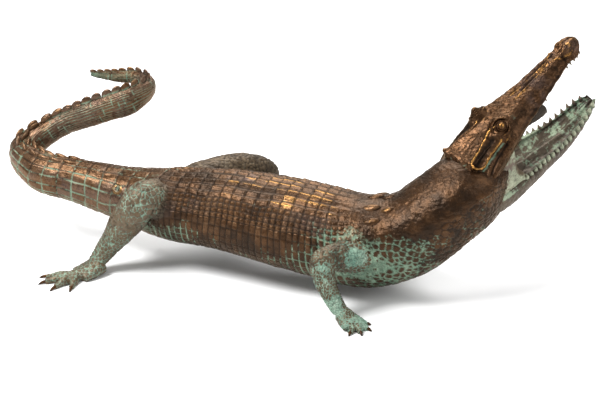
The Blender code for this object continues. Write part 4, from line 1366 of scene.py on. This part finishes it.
    def jaw(self) -> Skin:
        """Lower jaw: two rims for the teeth with the tongue between, dark skin outside."""
        rings, around = 220, 180
        table = np.array(self.mandible, float)
        at = np.linspace(table[0, 0], table[-1, 0], rings)
        wide, rim, deep = through(table[:, 0], table[:, 1:], at).T
        zero = 0.0 * at
        half = section(
            (zero, rim - 0.30 * deep), (0.3 * wide, rim - 0.44 * deep), (0.64 * wide, rim - 0.36 * deep),
            (0.78 * wide, rim + 0.5), (0.93 * wide, rim + 1.5), (wide, rim - 0.15 * deep),
            (0.92 * wide, rim - 0.58 * deep), (0.6 * wide, rim - deep), (zero, rim - deep),
        )
        sections, control = self.loops(half, around)
        along = at[:, None] + 0.0 * control[None, :]
        q = control[None, :] + 0.0 * along
        points = self.place(along, sections[..., 0], sections[..., 1], Jaw.LOWER)
        normals = grid_normals(points)
        mm = 0.001
        outside = smooth(4.6, 5.2, q)
        inside = 1 - smooth(3.4, 4.2, q)
        border, own = pebbles(points, 0.0055, 101)
        lift = 0.45 * mm * (smooth(0.0, 0.30, border) - 0.6) * outside
        spacing = 196.0 / (self.teeth_a_side - 1)
        sockets = np.cos(2 * math.pi * (along - 96.0) / spacing)
        toothed = smooth(84.0, 96.0, along)
        lift += 1.4 * mm * sockets * bell(q, 4.2, 0.7) * toothed
        stretched = np.stack([along * 0.25, sections[..., 0], sections[..., 1]], axis=-1) * THOUSANDTH
        streaks = mottle(stretched, 0.0034, 111)
        lift += 1.0 * mm * (mottle(points, 0.010, 103) - 0.5) + 0.9 * mm * (mottle(points, 0.004, 105) - 0.5)
        tongue = 1.4 * bell(q, 1.9, 0.3) - 1.2 * bell(q, 2.6, 0.25) + 0.9 * bell(q, 0.0, 0.4)
        lift += mm * inside * (tongue + 1.6 * (streaks - 0.5))
        points = points + normals * lift[..., None]
        groove = 0.35 * (1 - smooth(0.02, 0.16, border)) * outside + 0.7 * bell(q, 2.7, 0.25) * inside
        groove = groove + 0.9 * smooth(-0.1, -0.8, sockets) * bell(q, 4.2, 0.6) * toothed
        groove = groove + 0.6 * smooth(0.62, 0.8, streaks) * inside
        green = 0.06 * outside + 0.63 * (1 - outside) + 0.30 * (mottle(points, 0.016, 107) - 0.5)
        green = green + 0.20 * smooth(210.0, 270.0, along) * (1 - outside)
        green = green + 0.20 * bell(q, 4.9, 0.4) * (1 - smooth(60.0, 120.0, along))
        net = 0.12 + 0.30 * inside
        wear = 0.10 + 0.12 * bell(q, 5.0, 0.4)
        tone_and_painted_light = 0.3 * own + 0.4 * mottle(points, 0.008, 109) + 0.3 * streaks
        marks = {"groove": groove, "wear": wear, "green": green, "net": net, "tone_and_painted_light": tone_and_painted_light}
        start = self.place(np.array(-20.0), np.array(0.0), np.array(-18.0), Jaw.LOWER)
        end = self.place(np.array(307.0), np.array(0.0), np.array(19.5), Jaw.LOWER)
        return with_marks(grid_skin(points, start, end).outward(), marks)

    def cheek(self, sign: int) -> Skin:
        """Skin at the corner of the mouth: from skull to jaw, its free front edge drawn back in an arc."""
        rows, across = 60, 40
        upper = np.array(((-8, 52, 30, -44), (34, 50, 34, -46), (80, 42, 36, -48)), float)
        lower = np.array(((6, 54, 30, -20), (44, 55, 36, -12), (104, 50, 41, -5)), float)
        v = np.linspace(0.0, 1.0, rows)
        up, low = through((0.0, 0.55, 1.0), upper, v), through((0.0, 0.55, 1.0), lower, v)
        skull_out = self.place(up[:, 0], sign * up[:, 1], up[:, 3])
        skull_in = self.place(up[:, 0], sign * up[:, 2], up[:, 3])
        jaw_out = self.place(low[:, 0], sign * low[:, 1], low[:, 3], Jaw.LOWER)
        jaw_in = self.place(low[:, 0], sign * low[:, 2], low[:, 3], Jaw.LOWER)
        t = np.linspace(-0.12, 1.12, across)[None, :, None]
        pull = 20.0 * THOUSANDTH * (4 * t * (1 - t)).clip(0) * (v[:, None, None] ** 1.5)
        outer = skull_out[:, None] * (1 - t) + jaw_out[:, None] * t - self.ahead * pull
        inner = skull_in[:, None] * (1 - t) + jaw_in[:, None] * t - self.ahead * pull
        out = sign * self.side
        outer = outer + out * 0.0030 * (4 * t * (1 - t)).clip(0)
        points = np.concatenate([outer, inner[:, ::-1]], axis=1)
        normals = grid_normals(points)
        lift = 0.0012 * (mottle(points, 0.008, 121) - 0.5) + 0.0006 * (mottle(points, 0.003, 123) - 0.5)
        points = points + normals * lift[..., None]
        front = smooth(0.35, 0.9, v)[:, None] + 0.0 * points[..., 0]
        folds = smooth(0.55, 0.8, mottle(points, 0.006, 125))
        marks = {
            "groove": 0.5 * folds, "wear": 0.12, "green": 0.25 + 0.75 * front, "net": 0.3 + 0.4 * front,
            "tone_and_painted_light": mottle(points, 0.008, 127) + 0.7 * front,
        }
        return with_marks(grid_skin(points).outward(), marks)

    def flap(self) -> Skin:
        """The fold that hangs from the palate: a thin leaf between two outlines, painted dark as shade inside
        the mouth.
        """
        corners = np.array(
            ((112, -36), (172, -36), (177, -58), (176, -78), (166, -76), (148, -66), (128, -54)), float
        )
        closed = np.concatenate([corners, corners[:1]])
        points_a_side = 12
        reads = np.arange(len(corners) * points_a_side) / points_a_side
        outline = np.stack([np.interp(reads, np.arange(len(closed)), column) for column in closed.T], axis=-1)
        middle = outline.mean(axis=0)
        thick = np.array((-2.6, -2.6, -2.0, 0.0, 2.0, 2.6, 2.6))
        shrink = np.array((0.4, 0.9, 0.985, 1.0, 0.985, 0.9, 0.4))
        plan = middle + (outline - middle)[None] * shrink[:, None, None]
        bow = 3.5 * np.sin(plan[..., 1] / 12.0)
        points = self.place(plan[..., 0], 20.0 + thick[:, None] + bow, plan[..., 1])
        lift = 0.0008 * (mottle(points, 0.005, 131) - 0.5)
        points = points + grid_normals(points) * lift[..., None]
        low = smooth(-62.0, -76.0, plan[..., 1])
        # Painted shade: dark towards the palate, inside the mouth; the lower edge turns green.
        marks = {"groove": 0.92 - 0.7 * low, "wear": 0.05, "green": 0.05 + 0.45 * low, "tone_and_painted_light": 0.2}
        return with_marks(grid_skin(points).outward(), marks)

    def spikes(self) -> Skin:
        """Both rows of lower teeth and the few upper ones: cones whose tips bend back."""
        rng = np.random.default_rng(4)
        lower, upper = np.array(self.mandible, float), np.array(self.snout, float)
        gape = math.radians(self.gape)
        jaw_over = self.over * math.cos(gape) + self.ahead * math.sin(gape)
        jaw_ahead = self.ahead * math.cos(gape) - self.over * math.sin(gape)
        spots = []
        for along in np.linspace(96, 292, self.teeth_a_side):
            wide, rim = (np.interp(along, lower[:, 0], lower[:, column]) for column in (1, 2))
            for sign in (1, -1):
                tall = 0.0062 * rng.uniform(0.80, 1.15)
                way = unit(jaw_over + self.side * sign * 0.32 + jaw_ahead * rng.uniform(0.0, 0.25))
                root = self.place(along, sign * 0.92 * wide, rim + 0.5, Jaw.LOWER)
                # Both rows carry verdigris; the near row gets a higher green mark so it reads paler, a
                # painted highlight on the lit near rim, while the far row stays darker.
                thick, pale = (0.0076, 1.2) if sign > 0 else (0.0058, 0.60)
                spots.append((root, way, jaw_ahead, tall, thick, pale))
        for along in (184.0, 252.0, 261.0, 270.0, 278.0, 286.0):
            lip, gum = (np.interp(along, upper[:, 0], upper[:, column]) for column in (1, 5))
            for sign in (1, -1):
                way = unit(-self.over + self.side * sign * 0.25 + self.ahead * 0.15)
                root = self.place(along, sign * 0.80 * lip, gum - 0.3)
                spots.append((root, way, self.ahead, 0.0064 * rng.uniform(0.75, 1.1), 0.0040, 0.15))
        v = np.linspace(0.0, 0.96, 8)
        turn = np.arange(10) * 2 * math.pi / 10
        skins = []
        for root, way, lean, tall, wide, green in spots:
            across = unit(np.cross(way, lean))
            ahead = np.cross(across, way)
            girth = 0.5 * wide * (1 - v**1.25) ** 0.75
            centre = root + way * ((v - 0.35) * tall * 1.35)[:, None] - ahead * (0.18 * tall * v**2)[:, None]
            points = (centre[:, None] + across * (girth[:, None] * np.cos(turn))[..., None]
                      + ahead * (girth[:, None] * np.sin(turn))[..., None])
            level = np.repeat(v, len(turn))
            foot = 0.95 * (1 - smooth(0.30, 0.48, level))
            marks = {"groove": foot, "wear": 0.2 + 0.1 * level, "green": green, "tone_and_painted_light": 0.7}
            skins.append(with_marks(grid_skin(points).outward(), marks))
        return merged(skins)

    def turned(
        self, centre: np.ndarray, axis: np.ndarray, profile: tuple, stretch: float, wear: tuple
    ) -> Skin:
        """A knob turned about an axis from a profile of (radius, height) pairs in thousandths.

        Args:
            centre: foot of the axis.
            axis: way the knob stands.
            profile: radius and height from the rim to the middle.
            stretch: how much longer it is along the head.
            wear: places and values of the wear mark along the profile.

        Returns:
            The knob, open nowhere: its rim is sunk in the skull and closed under it.
        """
        table = np.array(profile, float)
        way = way_along(table)
        samples, around, spread = 60, 40, 9
        at = np.linspace(0.0, way[-1], samples)
        radius, height = through(way, table, at).T * THOUSANDTH
        radius = np.maximum(radius, 0.00005)
        ahead = unit(self.ahead - np.dot(self.ahead, axis) * axis)
        across = np.cross(axis, ahead)
        turn = np.arange(around) * 2 * math.pi / around
        points = (centre + axis * height[:, None, None]
                  + ahead * (radius[:, None] * np.cos(turn) * stretch)[..., None]
                  + across * (radius[:, None] * np.sin(turn))[..., None])
        points = points + axis * (0.0007 * (mottle(points, 0.004, 141) - 0.5))[..., None]
        share = np.repeat(at / way[-1], around)
        window = np.ones(spread) / spread
        level = np.convolve(np.pad(height, spread // 2, mode="edge"), window, mode="valid")
        proud = np.repeat((height - level) / 0.0007, around)
        marks = {
            "groove": smooth(0.2, 1.2, -proud), "wear": np.interp(share, *wear) * smooth(-0.6, 0.5, proud),
            "green": 0.08, "net": 0.45 * smooth(0.45, 0.35, share), "tone_and_painted_light": 0.5,
        }
        return with_marks(grid_skin(points, points[0].mean(0) - axis * 0.002).outward(), marks)

    def knobs(self) -> Skin:
        """Eyes with their ringed lids, and the nostrils with their pits."""
        lids = (
            (19.0, -7.0), (16.5, 2.0), (14.6, 6.4), (13.4, 6.0), (12.4, 2.6), (11.6, 3.2), (10.6, 7.4),
            (9.8, 9.0), (9.0, 8.6), (8.4, 7.4), (7.9, 9.0), (7.1, 11.6), (6.5, 11.8), (6.0, 11.0),
            (5.5, 13.0), (3.4, 15.6), (1.6, 16.2), (0.8, 15.2), (0.0, 15.0),
        )
        rims = ((5.6, -5.0), (4.6, 0.4), (3.2, 1.8), (1.6, 2.3), (0.0, 2.4))
        lid_wear = ((0.0, 0.30, 0.40, 0.75, 1.0), (0.2, 0.55, 0.45, 0.45, 0.80))
        rim_wear = ((0.0, 0.5, 1.0), (0.5, 0.8, 0.6))
        skins = []
        for sign in (1, -1):
            axis = unit(self.over * 0.82 + self.side * sign * 0.55 + self.ahead * 0.12)
            eye = self.place(self.eye[0], sign * self.eye[1] - 2.0, self.eye[2])
            skins.append(self.turned(eye, axis, lids, 1.12, lid_wear))
            axis = unit(self.over + self.side * sign * 0.35)
            nose = self.place(270.0, sign * 9.0, -19.0)
            skins.append(self.turned(nose, axis, rims, 1.3, rim_wear))
        return merged(skins)


# Assembly
@dataclass
class Crocodile:
    """The whole casting: builds each sub-assembly and dresses it."""

    body: Body
    head: Head
    limbs: list[Limb]

    def nape(self) -> Skin:
        """Raised keeled plates on the nape: four in a row across, two behind them."""
        body = self.body
        shoulder, end = body.knots[body.shoulder], body.knots[-1]
        plates = ((0.12, 13, 1.0), (0.13, 38, 0.9), (0.24, 14, 0.8))
        rows = np.array([(share, sign * angle, size) for share, angle, size in plates for sign in (1, -1)])
        place = shoulder + rows[:, 0] * (end - shoulder)
        axes = [unit(np.stack([np.interp(place, body.at, column) for column in array.T], axis=-1))
                for array in (body.along, body.right, body.back)]
        angle = np.radians(rows[:, 1])
        turn = angle % (2 * math.pi)
        foot = np.stack([body.rings(place[i : i + 1], turn[i : i + 1])[0, 0] for i in range(len(rows))])
        out = unit(axes[2] * np.cos(angle)[:, None] + axes[1] * np.sin(angle)[:, None])
        side = np.cross(axes[0], out)
        long = 0.0225 * rows[:, 2]
        made = leaves(foot - out * 0.0030, axes[0], out, side * 1.7, long, 0.0022 + 0.0036 * rows[:, 2])
        made.marks["green"] = made.marks["green"] * 0.2
        made.marks["net"] = made.marks["net"] * 0.3
        return made

    def build(self) -> None:
        """Makes every piece and hands it to the frame."""
        finishes = (SCUTE_PATINA, LIMB_PATINA, HEAD_PATINA, MOUTH_PATINA, TOOTH_PATINA)
        hide, limb_hide, head_hide, mouth, ivory = (finish.material() for finish in finishes)
        body = self.body
        hips, shoulder, end = body.knots[body.hips], body.knots[body.shoulder], body.knots[-1]
        tuck = 0.0006
        to_object("crocodile_tail", body.piece(0.0, hips + tuck, 430, 184, self.limbs[:2]), hide)
        to_object("crocodile_trunk", body.piece(hips - tuck, shoulder + tuck, 286, 316, self.limbs), hide)
        to_object("crocodile_neck", body.piece(shoulder - tuck, end, 200, 240, self.limbs[2:]), hide)
        to_object("crocodile_crest", body.crest(), hide)
        to_object("crocodile_nape_plates", self.nape(), hide)
        for limb in self.limbs:
            to_object("crocodile_" + limb.name, limb.dressed(body), limb_hide)
        to_object("crocodile_claws", merged([limb.nails() for limb in self.limbs]), head_hide)
        head = self.head
        to_object("crocodile_skull", head.skull(), head_hide)
        to_object("crocodile_lower_jaw", head.jaw(), mouth)
        to_object("crocodile_cheeks", merged([head.cheek(1), head.cheek(-1)]), ivory)
        to_object("crocodile_palate_flap", head.flap(), mouth)
        to_object("crocodile_teeth", head.spikes(), ivory)
        to_object("crocodile_eyes", head.knobs(), head_hide)


# Stage
def looking(place: Vector, way: Vector) -> Matrix:
    """The matrix of a lamp or camera that stands at a place and looks along a way."""
    return Matrix.Translation(place) @ way.to_track_quat("-Z", "Y").to_matrix().to_4x4()


@dataclass(frozen=True)
class Studio:
    """Pale floor, soft light and the camera at the photograph's angle."""

    elevation: float = 22.0
    distance: float = 1.9
    aim: tuple = (0.008045, -0.074850, 0.1204)
    lens: float = 95.8
    floor_colour: Colour = (0.90, 0.90, 0.90, 1.0)
    sky: float = 0.50

    def build(self) -> None:
        """Sets up the floor, the lamps, the sky and the camera."""
        scene = bpy.context.scene
        mesh = bpy.data.meshes.new("floor")
        reach = 6.0
        corners = [(-reach, -reach, 0), (reach, -reach, 0), (reach, reach, 0), (-reach, reach, 0)]
        mesh.from_pydata(corners, [], [(0, 1, 2, 3)])
        floor = bpy.data.objects.new("floor", mesh)
        scene.collection.objects.link(floor)
        graph = Graph("pale_floor")
        graph.plug(self.floor_colour, graph.surface.inputs["Base Color"])
        graph.plug(0.9, graph.surface.inputs["Roughness"])
        mesh.materials.append(graph.material)
        world = bpy.data.worlds.new("studio_sky")
        world.use_nodes = True
        sky = world.node_tree.nodes["Background"]
        sky.inputs["Color"].default_value = (1.0, 1.0, 1.0, 1.0)
        sky.inputs["Strength"].default_value = self.sky
        scene.world = world
        scene.view_settings.view_transform = "Standard"
        lamps = (
            ("key", (-1.0, -0.5, 1.6), 0.75, 50.0),
            ("fill", (1.3, -0.7, 1.2), 1.2, 10.0),
            ("rim", (0.1, 1.2, 1.6), 1.2, 34.0),
        )
        for name, place, size, power in lamps:
            lamp = bpy.data.lights.new(name, "AREA")
            lamp.size = size
            lamp.energy = power
            holder = bpy.data.objects.new(name, lamp)
            holder.matrix_world = looking(Vector(place), Vector((0.0, 0.0, 0.1)) - Vector(place))
            scene.collection.objects.link(holder)
        camera = bpy.data.cameras.new("camera")
        camera.lens = self.lens
        camera.sensor_width = 36.0
        eye = bpy.data.objects.new("camera", camera)
        tilt = math.radians(self.elevation)
        away = Vector((0.0, -math.cos(tilt), math.sin(tilt)))
        place = Vector(self.aim) + away * self.distance
        eye.matrix_world = looking(place, -away)
        scene.collection.objects.link(eye)
        scene.camera = eye


def main() -> None:
    """Builds the crocodile over its frame, then the stage."""
    logging.basicConfig(level=logging.INFO, format="%(message)s")
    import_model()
    Crocodile(Body(), Head(), [HIND_NEAR, HIND_FAR, FORE_NEAR, FORE_FAR]).build()
    Studio().build()


if __name__ == "__main__":
    main()
